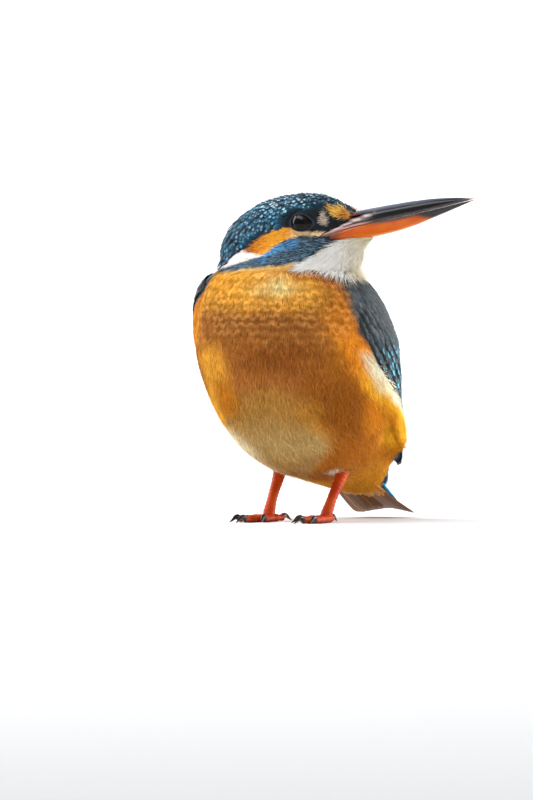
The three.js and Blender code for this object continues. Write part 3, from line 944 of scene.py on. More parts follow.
# ---------- tufts: thin closed blades of a few faces ----------
def blade_form(spans):
    """A three-sided spike cut into spans: each vertex's corner (0, 1 or 2) and place along, and the faces."""
    bm = bmesh.new()
    bmesh.ops.create_cone(bm, cap_ends=True, segments=3, radius1=1.0, radius2=0.0, depth=1.0)
    for i in range(1, spans):
        plane = (0, 0, i / spans - 0.5)
        everything = bm.verts[:] + bm.edges[:] + bm.faces[:]
        bmesh.ops.bisect_plane(bm, geom=everything, plane_co=plane, plane_no=(0, 0, 1))
    bmesh.ops.triangulate(bm, faces=bm.faces)
    bmesh.ops.recalc_face_normals(bm, faces=bm.faces)
    bm.verts.ensure_lookup_table()
    co = np.array([v.co[:] for v in bm.verts])
    faces = np.array([[v.index for v in f.verts] for f in bm.faces])
    bm.free()
    turn = np.round(np.arctan2(co[:, 1], co[:, 0]) / (2 * np.pi / 3) + 0.25).astype(int) % 3
    return turn, co[:, 2] + 0.5, faces


ROUNDING = 0.35  # how far a blade's edges turn away in shading
RISE = 0.8  # below 1, a feather leaves the skin steeply and then flattens out


def lay_blades(name, roots, ways, length, width, lift, base, tip, spans=2, mat=DOWN,
               slot="body_feathers", depth=-0.15, strength=None):
    """Blades grown from roots along ways. length, width and lift are per blade, in millimetres.
    lift is how far the tip stands over the skin, and depth, below zero, how deep the root goes.
    base and tip are the colours of its two ends, and strength is how much it shows the scales."""
    corner, place, faces = blade_form(spans)
    levels = np.unique(np.round(place, 4))
    rows = {}
    for v in levels:
        down, normal = settle(roots.points + ways * (length * v)[:, None])
        height = depth + (lift - depth) * v**RISE
        rows[v] = (down + normal * height[:, None], normal)
    count = len(roots)
    points = np.empty((count, len(place), 3))
    colours = np.empty((count, len(place), 3))
    soft = np.empty((count, len(place), 3))
    profile = np.interp(place, [0, 0.3, 0.7, 1], [0.55, 1.0, 0.8, 0.0])
    for k, (c, v) in enumerate(zip(corner, np.round(place, 4))):
        middle, normal = rows[v]
        side = across(normal, ways)
        half = (width * profile[k] / 2)[:, None]
        lean = 0.0
        if v == 1.0:
            points[:, k] = middle
        elif c == 2:
            points[:, k] = middle + normal * half * 0.5
        else:
            lean = 1 - 2 * c
            points[:, k] = middle + side * half * lean
        soft[:, k] = unit(normal + side * lean * ROUNDING)
        colours[:, k] = mix(base, tip, np.full(count, v**0.9))
    flat = points.reshape(-1, 3)
    colours = colours.reshape(-1, 3)
    if strength is not None:
        colours = np.concatenate([colours, np.repeat(strength, len(place))[:, None]], 1)
    every = (faces[None] + (np.arange(count) * len(place))[:, None, None]).reshape(-1, 3)
    probe = flat[every[: len(faces)]]
    volume = np.einsum("ij,ij->i", probe[:, 0], np.cross(probe[:, 1], probe[:, 2])).sum()
    if volume < 0:
        every = every[:, ::-1]
    spot = np.stack([(corner == 0) * 1.0 - (corner == 1) * 1.0, place * 2 - 1], 1) * TUFT_PATCH / 2
    uv = (roots.uv[:, None] + spot[None]).reshape(-1, 2)
    per_piece = PIECE_LIMIT // len(faces)
    for i, start in enumerate(range(0, count, per_piece)):
        stop = min(start + per_piece, count)
        some = slice(start * len(place), stop * len(place))
        chosen = every[start * len(faces): stop * len(faces)] - start * len(place)
        label = name if count <= per_piece else f"{name}_{i + 1}"
        mesh = array_mesh(label, flat[some], chosen, {"Plume": colours[some]}, {"OFBake": uv[some]},
                          soft.reshape(-1, 3)[some])
        new_object(label, mesh, mat, slot)


def fan(roots, barbs, spread_angle, root_width):
    """Each feather's root becomes several barbs that fan out: their roots, their ways, each one's share
    from -1 at one side to 1 at the other, and which feather it belongs to."""
    jitter = rng.uniform(-0.5, 0.5, len(roots) * barbs) * 2 / barbs
    share = np.tile(np.linspace(-1, 1, barbs), len(roots)) + jitter
    index = np.repeat(np.arange(len(roots)), barbs)
    many = roots.pick(index)
    side = across(many.normals, many.ways)
    angle = share * np.radians(np.broadcast_to(spread_angle, len(roots))[index])
    many.points = many.points + side * (share * np.broadcast_to(root_width, len(roots))[index] / 2)[:, None]
    ways = many.ways * np.cos(angle)[:, None] + side * np.sin(angle)[:, None]
    return many, ways, share, index


# ---------- which skin grows what ----------
UPPER_TREE, LOWER_TREE, TAIL_TREE = (solid_tree(name) for name in ("bill_upper", "bill_lower", "tail"))


def clear_of(tree, points, margin):
    """True where a point is further than the margin outside a solid, or far from it."""
    places, normals = settle(points, tree)
    far = np.linalg.norm(points - places, axis=1) > 1.5
    return far | (np.sum((points - places) * normals, 1) > margin)


def eye_gap(p):
    """Below 1 where the bare rim of the lids is, and inside it."""
    return np.where(np.abs(p[:, 1] - HEAD_MIDDLE) > 6, lid_gap(p) / 1.25, 9.0)


def is_crown(p):
    """Where the spotted feathers of the crown and nape grow."""
    x, y, z = p.T
    out = np.abs(y - HEAD_MIDDLE)
    above = z - curve(EAR_TOP, x)
    orbit = np.hypot((x - 9.6) / 5.4, (z - 85.2) / 3.6)
    lore = (x > 12) & (z < 89.5 - 0.1 * (x - 14)) & (out > 1.8)
    return (on_head(p) > 0.5) & (above > 0.3) & ((orbit > 1) | (out < 5)) & ~lore & (x < 22.5)


def is_blue_side(p):
    return step(-0.2, 0.2, behind_edge(p)) > 0.5


def bill_place(p):
    """Share along the bill and height over the line where the mandibles meet."""
    share = (p[:, 0] - GAPE[0]) / (BILL_LENGTH * BILL_WAY[0])
    return share, p[:, 2] - (GAPE[2] + share * BILL_LENGTH * BILL_WAY[2]) - curve(MOUTH_SAG, share)


def off_gape(p):
    """True away from the bare corner of the mouth."""
    share, height = bill_place(p)
    above = np.interp(share, [0.0, 0.05, 0.2], [0.2, 1.3, 1.5])
    below = np.interp(share, [0.0, 0.045, 0.065, 0.1, 0.14, 0.25], [0.2, 0.4, 2.2, 2.9, 3.2, 3.1])
    return (height > above) | (height < -below) | (share < 0.0) | (share > 0.3)


def grown(p):
    """Skin that isn't hidden inside the bill, an eye or the tail."""
    chin = (p[:, 0] > 15) & (p[:, 2] < 83)
    upper = clear_of(UPPER_TREE, p, 0.15)
    lower = clear_of(LOWER_TREE, p, 0.15) | (chin & clear_of(LOWER_TREE, p, -0.5))
    return (eye_gap(p) > 1.0) & upper & lower & off_gape(p) & clear_of(TAIL_TREE, p, 0.2)


def on_face(p):
    return (on_head(p) > 0.5) & ~is_crown(p) & grown(p)


def on_front(p):
    return (on_head(p) <= 0.5) & (~is_blue_side(p) | (underside(p) > 0.5)) & grown(p)


def on_back(p):
    above = is_blue_side(p) & (underside(p) <= 0.5)
    return (on_head(p) <= 0.5) & above & ((np.abs(p[:, 0]) < 13) | (p[:, 2] > 60)) & grown(p)


def on_belly(p):
    return on_front(p) & (p[:, 2] < 50) & (p[:, 2] > 12) & (p[:, 1] < 14)


def ranged(low, high, count):
    return rng.uniform(low, high, count)


def even(gap):
    """A spacing that is the same everywhere."""
    return lambda p: np.full(len(p), gap)


# ---------- body coat ----------
def body_coat():
    """Breast, belly and flanks: each feather a fan of fine barbs, longer and looser lower down."""
    roots = scatter(lambda p: 0.94 + 0.16 * (1 - step(25, 50, p[:, 2])), on_front)
    loose = 1 - step(34, 56, roots.points[:, 2])
    many, ways, share, index = fan(roots, 17, 15 - 3 * loose, 1.1 + 0.5 * loose)
    count, loose = len(index), loose[index]
    x, y, z = many.points.T
    length = (3.7 + 2.3 * loose) * (1 - 0.2 * share**2) * ranged(0.9, 1.08, count)
    width = (0.25 + 0.03 * loose) * ranged(0.75, 1.25, count)
    rim = step(-5.5, -1.5, behind_edge(many.points)) * step(18, 24, z) * step(60, 50, z)
    lift = (0.6 + 0.2 * loose + 0.7 * rim) * ranged(0.75, 1.2, count)
    ways = along_skin(many.normals, ways + 0.05 * rng.normal(size=ways.shape))
    length = length * (1 - 0.65 * step(30, 26, z) * step(23, 28, y) * step(7.5, 9.5, np.abs(x)))
    shown = many.points + ways * (0.75 * length)[:, None] + rng.normal(size=ways.shape) * 0.3
    base, tip = plumage(shown, many.points)
    streak = (rng.random(count) < 0.07) * step(44, 50, z) * 0.4
    tone = (1 + 0.1 * rng.normal(size=count)) * (1 - streak)
    tone = (tone * (1 + 0.11 * rng.normal(size=len(roots)))[index])[:, None]
    lay_blades("coat_body", many, ways, length, width, lift, base * tone, tip * tone, strength=scaly(shown))


def body_wisps():
    """Long fine barbs lying loosely over the belly and flanks."""
    roots = scatter(even(1.25), on_belly)
    many, ways, _, index = fan(roots, 2, 16.0, 0.8)
    count = len(index)
    low = 1 - step(30, 48, many.points[:, 2])
    length = (4.5 + 2.4 * low) * ranged(0.75, 1.25, count)
    width = ranged(0.09, 0.15, count)
    lift = (0.85 + 0.4 * low) * ranged(0.8, 1.3, count)
    ways = along_skin(many.normals, ways + 0.16 * rng.normal(size=ways.shape))
    base, tip = plumage(many.points + ways * (0.6 * length)[:, None], many.points)
    glow = ranged(0.9, 1.5, count)[:, None]
    tip = np.clip(tip * glow * 1.15 + 0.03, 0, 1)
    lay_blades("coat_wisps", many, ways, length, width, lift, base * glow, tip,
               spans=3, strength=np.zeros(count))


def back_coat():
    """The azure back and rump, and the slate shoulders on both sides of it."""
    roots = scatter(even(1.3), on_back)
    many, ways, share, index = fan(roots, 9, 16.0, 1.2)
    count = len(index)
    x, y, z = many.points.T
    by_tip = step(8, 9.5, np.abs(x)) * step(28, 33, y)
    length = 4.6 * (1 - 0.2 * share**2) * ranged(0.85, 1.1, count) * (1 - 0.35 * by_tip)
    width = 0.4 * ranged(0.8, 1.2, count)
    hind = step(0.3, 0.9, many.normals[:, 1]) * step(24, 18, z)
    lift = (0.75 + 1.4 * hind * (1 - by_tip) - 0.5 * by_tip) * ranged(0.6, 1.2, count)
    shown = many.points + ways * (0.5 * length)[:, None] + rng.normal(size=ways.shape) * 0.4
    base, tip = plumage(shown, many.points)
    feather_tone = np.clip(1 + 0.3 * rng.normal(size=len(roots)), 0.4, 1.8)[index]
    tone = (np.clip(1 + 0.26 * rng.normal(size=count), 0.35, 1.8) * feather_tone)[:, None]
    base, tip = mix(base, C_QUILL, by_tip), mix(tip, rgb(22, 34, 44), by_tip)
    lay_blades("coat_back", many, ways, length, width, lift, base * tone, tip * tone,
               mat=FINE, slot="wing_feathers")


def face_coat():
    """The smallest barbs: cheeks, ear patch, chin and throat, with bristles standing up before the eye."""
    roots = scatter(lambda p: 0.31 + 0.06 * step(3.5, 9, eye_gap(p) * 3.3), on_face)
    x, _, z = roots.points.T
    gap = eye_gap(roots.points)
    ear_line, malar_top, malar_bottom = (curve(line, x) for line in (EAR_TOP, MALAR_TOP, MALAR_BOTTOM))
    throat = step(0, 1, malar_bottom - z) * step(8, 12, x)
    rear = 1 - step(-4, 10, x)
    fringe = throat * step(75.5, 73.5, z)
    chin = throat * step(15, 19, x) * step(82, 80.5, z)
    lore = 1 - step(0.7, 1.15, np.hypot((x - 18.4) / 4.8, (z - 88.2) / 2.6))
    malar = step(0.0, 0.3, malar_top - z) * step(0.0, 0.3, z - malar_bottom)
    ear = step(0.0, 0.4, ear_line - z) * step(0.0, 0.4, z - malar_top) * step(2, -6, x)
    size = 1.5 + 0.9 * rear + 1.3 * throat * (1 - step(17, 24, x)) + 1.1 * fringe + 2.2 * chin
    size = size * np.clip((gap - 0.85) * 2.2, 0.45, 1) + 0.5 * lore
    many, ways, _, index = fan(roots, 3, 12.0, 0.4)
    count = len(index)
    size, throat, rear, fringe, chin, lore, malar, ear = (
        a[index] for a in (size, throat, rear, fringe, chin, lore, malar, ear)
    )
    length = size * ranged(0.8, 1.2, count)
    width = (0.16 + 0.04 * rear) * ranged(0.8, 1.25, count)
    lift = (0.22 + 0.12 * rear + 0.25 * throat + lore + 0.5 * fringe + chin) * ranged(0.6, 1.4, count)
    streak = (malar * (rng.random(count) > 0.55))[:, None]
    ways = along_skin(many.normals, ways + (0.09 + 0.3 * lore)[:, None] * rng.normal(size=ways.shape))
    tone = (1 + (0.16 + 0.32 * lore) * rng.normal(size=count) * (1 - 0.7 * throat))[:, None]
    shown = many.points + ways * (0.55 * length)[:, None] + rng.normal(size=ways.shape) * 0.22
    base, tip = plumage(shown, many.points)
    light = tip * 2.4 + rgb(66, 88, 100) * 1.1
    base = base * (1 - streak) + 0.5 * light * streak
    tip = np.clip(tip * (1 - streak) + light * streak, 0, 1)
    tone = tone * (1 - 0.65 * (rng.random(count) < 0.24 * ear * (tip[:, 2] < 0.4))[:, None])
    lay_blades("coat_face", many, ways, length, width, lift, base * tone, tip * tone,
               mat=FINE, slot="crown_feathers", depth=-0.08)


# ---------- vanes: whole webbed feathers ----------
def vane_form(wide, long):
    """A thin closed slab: each vertex's place across and along, which side it is on, and the faces."""
    bm = bmesh.new()
    bmesh.ops.create_grid(bm, x_segments=wide, y_segments=long, size=0.5)
    bmesh.ops.solidify(bm, geom=bm.faces[:], thickness=0.01)
    bmesh.ops.recalc_face_normals(bm, faces=bm.faces)
    bmesh.ops.triangulate(bm, faces=bm.faces)
    co = np.array([v.co[:] for v in bm.verts])
    faces = np.array([[v.index for v in f.verts] for f in bm.faces])
    bm.free()
    upper = co[:, 2] > co[:, 2].mean()
    return np.clip(co[:, 0] + 0.5, 0, 1), np.clip(co[:, 1] + 0.5, 0, 1), upper, faces


def web_outline(along, blunt=0.26):
    """Half width of a feather along its length: narrow at the quill, rounded at the tip."""
    rise = 0.45 + 0.55 * step(0.0, 0.5, along)
    end = np.clip((along - (1 - blunt)) / blunt, 0, 1)
    return rise * np.sqrt(np.clip(1 - 0.985 * end**2, 0, 1))


def lay_vanes(name, place_at, length, width, uv, base, tip, mat, slot, wide, long, thick, camber, blunt,
              mark=None, mark_size=None, under=None, patch=0.012, stands_for=()):
    """Vanes whose surface is place_at(along, across), which gives points and normals, one for each vane.
    base and tip are the colours of the two ends, under that of the lower face, and mark that of the tip's
    spot, as large as mark_size says. wide and long count the faces each way, blunt is the share of the
    length that rounds off at the tip, and camber is how far the edges arch down."""
    count = len(length)
    if mark is None:
        mark, mark_size = base, np.zeros(count)
    u, v, upper, faces = vane_form(wide, long)
    points = np.empty((count, len(u), 3))
    for k in range(len(u)):
        side = (u[k] - 0.5) * width * web_outline(v[k], blunt)
        spots, normals = place_at(length * v[k], side)
        arch = -camber * width * (2 * u[k] - 1) ** 2 * 0.5
        drop = 0.0 if upper[k] else -thick
        points[:, k] = spots + normals * (arch + drop)[:, None]
    tone = base[:, None] * (1 - v)[None, :, None] + tip[:, None] * v[None, :, None]
    if under is not None:
        tone = np.where(upper[None, :, None], tone, under[:, None])
    flat = points.reshape(-1, 3)
    every = (faces[None] + (np.arange(count) * len(u))[:, None, None]).reshape(-1, 3)
    tri = flat[every[: len(faces)]] - flat[0]
    if np.einsum("ij,ij->i", tri[:, 0], np.cross(tri[:, 1], tri[:, 2])).sum() < 0:
        every = every[:, ::-1]
    own = np.stack([u, v], 1)
    colours = {
        "Plume": tone.reshape(-1, 3),
        "Mark": np.repeat(np.concatenate([mark, mark_size[:, None]], 1), len(u), 0),
    }
    maps = {
        "Vane": np.tile(own, (count, 1)),
        "OFBake": (uv[:, None] + (own - 0.5)[None] * patch).reshape(-1, 2),
    }
    new_object(name, array_mesh(name, flat, every, colours, maps), mat, slot, *stands_for)


def crown_roots():
    """Places in staggered rows over the crown and nape, found by looking out from inside the head."""
    places, normals, uvs = [], [], []
    for row, x in enumerate(np.arange(21.8, -21.5, -1.12), 1):
        for turn in np.arange(-118 + (row % 2) * 3.6, 118, 7.2):
            a = math.radians(turn + rng.uniform(-1.2, 1.2))
            start = Vector((x + rng.uniform(-0.2, 0.2), HEAD_MIDDLE, 80.5 + min(0.0, (x + 8) * 0.28)))
            way = Vector((0, math.sin(a), math.cos(a)))
            if x < -9:
                tilt = min(1.0, (-9 - x) / 9)
                way = (way + Vector((-0.75 * tilt, 0, 0))).normalized()
            place, normal, tri, _ = SKIN_TREE.ray_cast(start, way)
            if place is not None:
                places.append(place[:])
                normals.append(normal[:])
                uvs.append(TRI_UV[tri].mean(0))
    roots = Roots(np.array(places), unit(np.array(normals)), np.array(uvs))
    roots = roots.pick(is_crown(roots.points) & grown(roots.points))
    return roots.pick(spread(roots.points, np.full(len(roots), 0.9)))


def crown_feathers():
    """Small spotted feathers in rows over the crown and nape, turned along the coat."""
    roots = crown_roots()
    count = len(roots)
    ways = along_skin(roots.normals, roots.ways + rng.normal(size=(count, 3)) * 0.16)
    sides = across(roots.normals, ways)
    x, _, z = roots.points.T
    front, rear, nape = step(8, 20, x), step(6, 18, -x), step(7, 15, -x)
    length = (2.9 - 0.9 * front + 0.7 * rear) * ranged(0.9, 1.1, count)
    width = (1.85 - 0.35 * front + 0.25 * rear) * ranged(0.9, 1.08, count)
    rise = ranged(0.5, 0.95, count) * (1 - 0.2 * front)

    def place_at(along, side):
        down, normal = settle(roots.points + ways * along[:, None] + sides * side[:, None])
        return down + normal * (-0.05 + rise * (along / length) ** RISE)[:, None], normal

    base = rgb(14, 32, 42) * ranged(0.5, 1.4, count)[:, None]
    tip = rgb(28, 74, 96) * ranged(0.2, 1.5, count)[:, None]
    top = step(86, 91, z) * (1 - step(2, 9, -x))
    mark = mix(rgb(62, 158, 200), C_PALE_SPOT, np.clip(top * 0.6 + ranged(-0.2, 0.3, count), 0, 1))
    glow = bell(x, 1, 7) * bell(z, 90, 2.6)
    mark = mark * ((0.22 + 0.85 * rng.random(count) + 0.2 * glow) * (1 - 0.3 * nape))[:, None]
    size = (ranged(0.28, 0.62, count) + 0.1 * glow) * (1 - 0.2 * front) * (1 - 0.1 * nape)
    lay_vanes("crown_feathers", place_at, length, width, roots.uv, base, tip, CROWN_WEB, "crown_feathers",
              wide=2, long=4, thick=0.06, camber=0.18, blunt=0.4, mark=mark, mark_size=size, patch=0.006)


body_coat()
body_wisps()
back_coat()
face_coat()
crown_feathers()


# ---------- folded wings ----------
# The line of the left wing from the shoulder to its tip: place (x, y, z), the way its outer side faces,
# half width, depth over the line, and how far its two edges droop.
WING_LINE = np.array([
    [20.2, -10, 70.2, 0.7, -0.3, 0.6, 5, 2.4, 0.6],
    [26.7, -2.5, 60.5, 0.93, 0, 0.35, 11, 2.6, 3],
    [25.3, 8.3, 49.5, 0.9, 0.36, 0.28, 14, 2.6, 4.4],
    [19.4, 19, 38, 0.78, 0.52, 0.38, 12.4, 2.3, 3.4],
    [14.1, 30.8, 26.8, 0.66, 0.57, 0.5, 8, 1.8, 1.6],
    [8.6, 42.2, 15.6, 0.55, 0.4, 0.7, 3.4, 1.1, 0.3],
])
WING_LENGTH = 80.0
SHOULDER_LEAN = -2.5  # how far both shoulders shift in x


def smooth_line(rows, t):
    """Points at t, from 0 to 1, of a smooth curve through evenly spaced rows."""
    place = np.clip(t, 0, 1) * (len(rows) - 1)
    i = np.minimum(place.astype(int), len(rows) - 2)
    f = (place - i)[..., None]
    b, c = rows[i], rows[i + 1]
    a, d = rows[np.maximum(i - 1, 0)], rows[np.minimum(i + 2, len(rows) - 1)]
    bend = (2 * f**3 - 3 * f**2 + 1) * b + (3 * f**2 - 2 * f**3) * c
    return bend + (f**3 - 2 * f**2 + f) * (c - a) / 2 + (f**3 - f**2) * (d - b) / 2


def round_end(t, cap):
    inward = np.clip(t / cap, 0, 1)
    return np.sqrt(1 - (1 - inward) ** 2)


def wing_ends(s):
    """1 along the wing, falling to nothing round its shoulder and its tip."""
    return round_end(s, 0.14) * round_end(1 - s, 0.08)


def wing_half(s):
    return smooth_line(WING_LINE, s)[..., 6] * wing_ends(s)


def left_sheet(s, u):
    """Place on the left wing's outer face, and the way that face looks there."""
    row = smooth_line(WING_LINE, s)
    tangent = unit(smooth_line(WING_LINE, s + 0.01)[..., :3] - smooth_line(WING_LINE, s - 0.01)[..., :3])
    out = along_skin(tangent, row[..., 3:6])
    ends = wing_ends(s)
    rise = row[..., 7] * np.sqrt(np.clip(1 - u**2, 0, 1)) - row[..., 8] * u**2
    sideways = np.cross(tangent, out) * (u * row[..., 6] * ends)[..., None]
    return row[..., :3] + sideways + out * (rise * ends)[..., None], out


def wing_sheet(s, u, side):
    """Place and normal on a wing's outer face: s from shoulder (0) to tip (1), u from its inner edge (-1)
    to its front edge (1)."""
    s = np.clip(s, 0.012, 0.988)
    here, out = left_sheet(s, u)
    d = 0.02
    along = left_sheet(s + d / 2, u)[0] - left_sheet(s - d / 2, u)[0]
    normal = unit(np.cross(along, left_sheet(s, u + d)[0] - left_sheet(s, u - d)[0]))
    normal = normal * np.sign(np.sum(normal * out, -1, keepdims=True))
    flip = np.array([side, 1.0, 1.0])
    here, normal = here * flip, unit(normal + 0.4 * out) * flip
    here[..., 0] += SHOULDER_LEAN * step(50, 70, here[..., 2])
    return here, normal


def front_limit(side):
    """How far towards its front edge a wing shows before the flank's feathers cover it, along s."""
    s = np.linspace(0, 1, 41)
    u = np.linspace(-1, 1, 81)
    place, _ = wing_sheet(*[g.ravel() for g in np.meshgrid(s, u, indexing="ij")], side)
    shown = (behind_edge(place) > -1.2).reshape(len(s), len(u))
    limit = np.array([u[row].max() if row.any() else -1.0 for row in shown])
    return s, np.clip(limit, -0.2, 0.97)


def nearest_uv(points):
    found = [SKIN_TREE.find_nearest(p)[2] for p in points.tolist()]
    return TRI_UV[np.array(found)].mean(1)


def wing_rows():
    """Every row of one wing's feathers, lowest layer first: kind, roots and tips as (s, u), width, height
    over the wing at the root and at the tip, and how far the front edge tilts."""
    rows = []

    def row(kind, starts, ends, width, low, high, tilt=0.0):
        rows.append((kind, np.array(starts), np.array(ends), width, low, high, tilt))

    def slanted(s0, s1, u0, u1, count, reach, drift=0.0):
        start = np.linspace((s0, u0), (s1, u1), count)
        return start, start + (reach, drift)

    for k in range(9):
        row("primary", [(0.40, 0.92 - 0.05 * k)], [(0.995 - 0.026 * k, 0.55 - 0.16 * k)],
            4.6, -0.35 + 0.03 * k, -0.2 + 0.045 * k, -0.25)
    for k in range(10):
        row("secondary", [(0.34, 0.78 - 0.155 * k)], [(0.80 - 0.012 * k, 0.66 - 0.165 * k)],
            6.4, -0.1 + 0.02 * k, 0.12 + 0.03 * k, -0.3)
    for k in range(4):
        row("tertial", [(0.36, -0.55 - 0.1 * k)], [(0.74 - 0.035 * k, -0.62 - 0.09 * k)],
            7.4, 0.1, 0.45 + 0.04 * k, -0.2)
    row("greater", *slanted(0.37, 0.33, 0.93, -0.75, 15, 0.155, -0.02), 4.6, 0.1, 0.5, -0.25)
    row("median", *slanted(0.305, 0.27, 0.95, -0.8, 17, 0.105), 3.6, 0.2, 0.6, -0.2)
    row("median", *slanted(0.255, 0.225, 0.95, -0.85, 16, 0.095), 3.3, 0.25, 0.6, -0.2)
    for k, s in enumerate(np.arange(0.215, 0.0, -0.031)):
        count = int(np.clip(2 * wing_half(np.array([s + 0.03]))[0] / 1.55, 3, 17))
        shift = 0.5 / count if k % 2 else 0.0
        row("lesser", *slanted(s, s, 0.97 - shift, -0.93 + shift, count, 0.07), 2.7, 0.3, 0.62)
    edges = ((0.28, 0.62, 0.45), (0.26, 0.66, 0.62), (0.25, 0.7, 0.8), (0.23, 0.72, 0.96))
    for k, (s0, s1, u) in enumerate(edges):
        row("edge", *slanted(s0, s1, u, u, 14, 0.062, 0.01), 1.75, 0.32 + 0.02 * k, 0.68 + 0.04 * k)
    for k, s in enumerate(np.arange(0.46, 0.02, -0.05)):
        inner = slanted(s, s, -0.97, -0.42 - 0.05 * (k % 2), 5, 0.125 - 0.006 * k, -0.04)
        row("scapular", *inner, 4.4 - 0.12 * k, 0.35, 0.95)
    return rows


WING_LOOKS = {  # root colour, tip colour, colour of the underside, the tip's mark and how large it is
    "primary": (C_QUILL, rgb(20, 44, 58), C_QUILL, rgb(40, 90, 110), 0.0),
    "secondary": (C_WING * 0.8, rgb(22, 78, 98), C_QUILL, C_AZURE, 0.0),
    "tertial": (C_WING, rgb(28, 98, 112), C_QUILL, C_AZURE, 0.0),
    "greater": (C_WING * 0.8, rgb(24, 72, 84), C_QUILL, rgb(84, 176, 204), 0.3),
    "median": (C_WING * 0.8, rgb(26, 70, 82), C_QUILL, rgb(92, 182, 208), 0.4),
    "lesser": (C_WING * 0.7, rgb(30, 54, 62), C_QUILL, rgb(72, 140, 160), 0.2),
    "edge": (C_WING * 0.5, rgb(18, 42, 52), C_QUILL, rgb(96, 186, 216), 0.46),
    "scapular": (C_WING, rgb(30, 104, 118), C_QUILL, rgb(70, 170, 190), 0.22),
}


FLIGHT = ("primary", "secondary", "tertial")
FLIGHT_SHAPE = dict(wide=2, long=9, thick=0.16, camber=0.05, blunt=0.12)
COVERT_SHAPE = dict(wide=2, long=3, thick=0.1, camber=0.1, blunt=0.3)


def wing_layer(word, side, rows, flight):
    """One layer of a folded wing, either its flight feathers or its coverts."""
    sizes = [len(row[1]) for row in rows]
    looks = [WING_LOOKS[row[0]] for row in rows]
    starts, ends = (np.concatenate([row[k] for row in rows]) for k in (1, 2))
    width, low, high, tilt = (np.repeat([row[k] for row in rows], sizes) for k in (3, 4, 5, 6))
    base, tip, under, mark, size = (np.repeat([look[k] for look in looks], sizes, 0) for k in range(5))
    count = len(starts)
    starts = starts + rng.normal(size=starts.shape) * [0.003, 0.012]
    ends = ends + rng.normal(size=ends.shape) * [0.004, 0.015]
    width = width * ranged(0.92, 1.08, count)
    high = high + ranged(-0.06, 0.06, count)
    span = ends - starts
    length = np.abs(span[:, 0]) * WING_LENGTH
    limit_s, limit_u = front_limit(side)

    def place_at(along, across_mm):
        share = along / length
        s, u = (starts + span * share[:, None]).T
        top = np.interp(s, limit_s, limit_u)
        u = -1 + (u + 1) / 2 * (top + 1) + across_mm / np.maximum(wing_half(s), 1.2)
        spots, normals = wing_sheet(s, np.clip(u, -0.99, np.maximum(top, -0.9)), side)
        height = low + (high - low) * share**RISE + tilt * across_mm / width
        return spots + normals * (height - 0.25)[:, None], normals

    roots, _ = place_at(length * 0, length * 0)
    tone = ranged(0.45, 1.4, count)[:, None]
    if not flight:
        z = roots[:, 2]
        slate = np.maximum(step(52, 60, z), 0.7 * step(0.0, -0.5, starts[:, 1]) * step(30, 38, z))
        base, tip = mix(base, rgb(10, 15, 19), 0.85 * slate), mix(tip, rgb(50, 60, 65), 0.85 * slate)
        front = step(0.0, 0.6, starts[:, 1])
        size = size * (1 - 0.8 * slate) * ranged(0.6, 1.15, count) * (0.5 + 0.5 * front)
    lay_vanes(f"wing_{'flights' if flight else 'coverts'}_{word}", place_at, length, width, nearest_uv(roots),
              base * tone, tip * tone, WING_WEB, "wing_feathers", mark=mark * tone, mark_size=size,
              under=under * tone, stands_for=(f"wing_{word}",) if flight else (),
              **(FLIGHT_SHAPE if flight else COVERT_SHAPE))


def wing_feathers(word, side):
    rows = wing_rows()
    for flight in (True, False):
        wing_layer(word, side, [row for row in rows if (row[0] in FLIGHT) == flight], flight)


for word, side in SIDES:
    wing_feathers(word, side)


# ---------- tail ----------
# The line of the tail from root to tip: z, half width, and how far its sides arch down.
TAIL_LINE = np.array([[17.0, 6.2, 0.8], [11.0, 8.4, 1.0], [5.8, 9.8, 1.1], [2.0, 10.3, 1.2]])
TAIL_START, TAIL_END = 22.0, 55.0  # y
TAIL_LENGTH = TAIL_END - TAIL_START
TAIL_WIDTH = 5.6  # of one feather


def tail_sheet(t, across_mm):
    """Place and normal on the tail's upper face, t from its root (0) to its tip (1)."""
    z, half, arch = np.moveaxis(smooth_line(TAIL_LINE, t), -1, 0)
    slope = (smooth_line(TAIL_LINE, t + 0.02) - smooth_line(TAIL_LINE, t - 0.02))[..., 0] / 0.04 / TAIL_LENGTH
    u = across_mm / half
    z = np.maximum(z - arch * np.minimum(u**2, 1.1), 0.8)
    normal = unit(np.stack([2 * arch * u / half, -slope, np.ones_like(slope)], -1))
    return np.stack([across_mm, TAIL_START + TAIL_LENGTH * t, z], -1), normal


def tail_feathers():
    """Twelve feathers, the middle pair on top, each side shingled outwards and down."""
    share = np.array([side * k / 5.5 for k in (5.5, 4.5, 3.5, 2.5, 1.5, 0.5) for side in (1, -1)])
    count = len(share)
    length = TAIL_LENGTH * (0.985 - 0.03 * np.abs(share) ** 2 - 0.015 * rng.random(count))
    high = 0.75 - np.abs(share) * 0.75
    start, end = share * 2.2, share * (10.3 - 2.7)

    def place_at(along, side_mm):
        t = along / TAIL_LENGTH
        across_mm = start + (end - start) * (along / length) ** 0.85 + side_mm
        spots, normals = tail_sheet(t, across_mm)
        lift = high - 0.16 * np.sign(share) * side_mm / (TAIL_WIDTH / 2)
        return spots + normals * (lift * (0.4 + 0.6 * t))[:, None], normals

    roots, _ = place_at(length * 0, length * 0)
    tone = ranged(0.7, 1.3, count)[:, None]
    # the underside's brown-orange: partly painted light shining through the tail
    base, tip, under = (colour * tone for colour in (C_TAIL, rgb(20, 48, 78), rgb(134, 84, 30)))
    lay_vanes("tail_feathers", place_at, length, np.full(count, TAIL_WIDTH), nearest_uv(roots), base, tip,
              WING_WEB, "tail_feathers", wide=4, long=18, thick=0.2, camber=0.05, blunt=0.14, under=under,
              stands_for=("tail",))


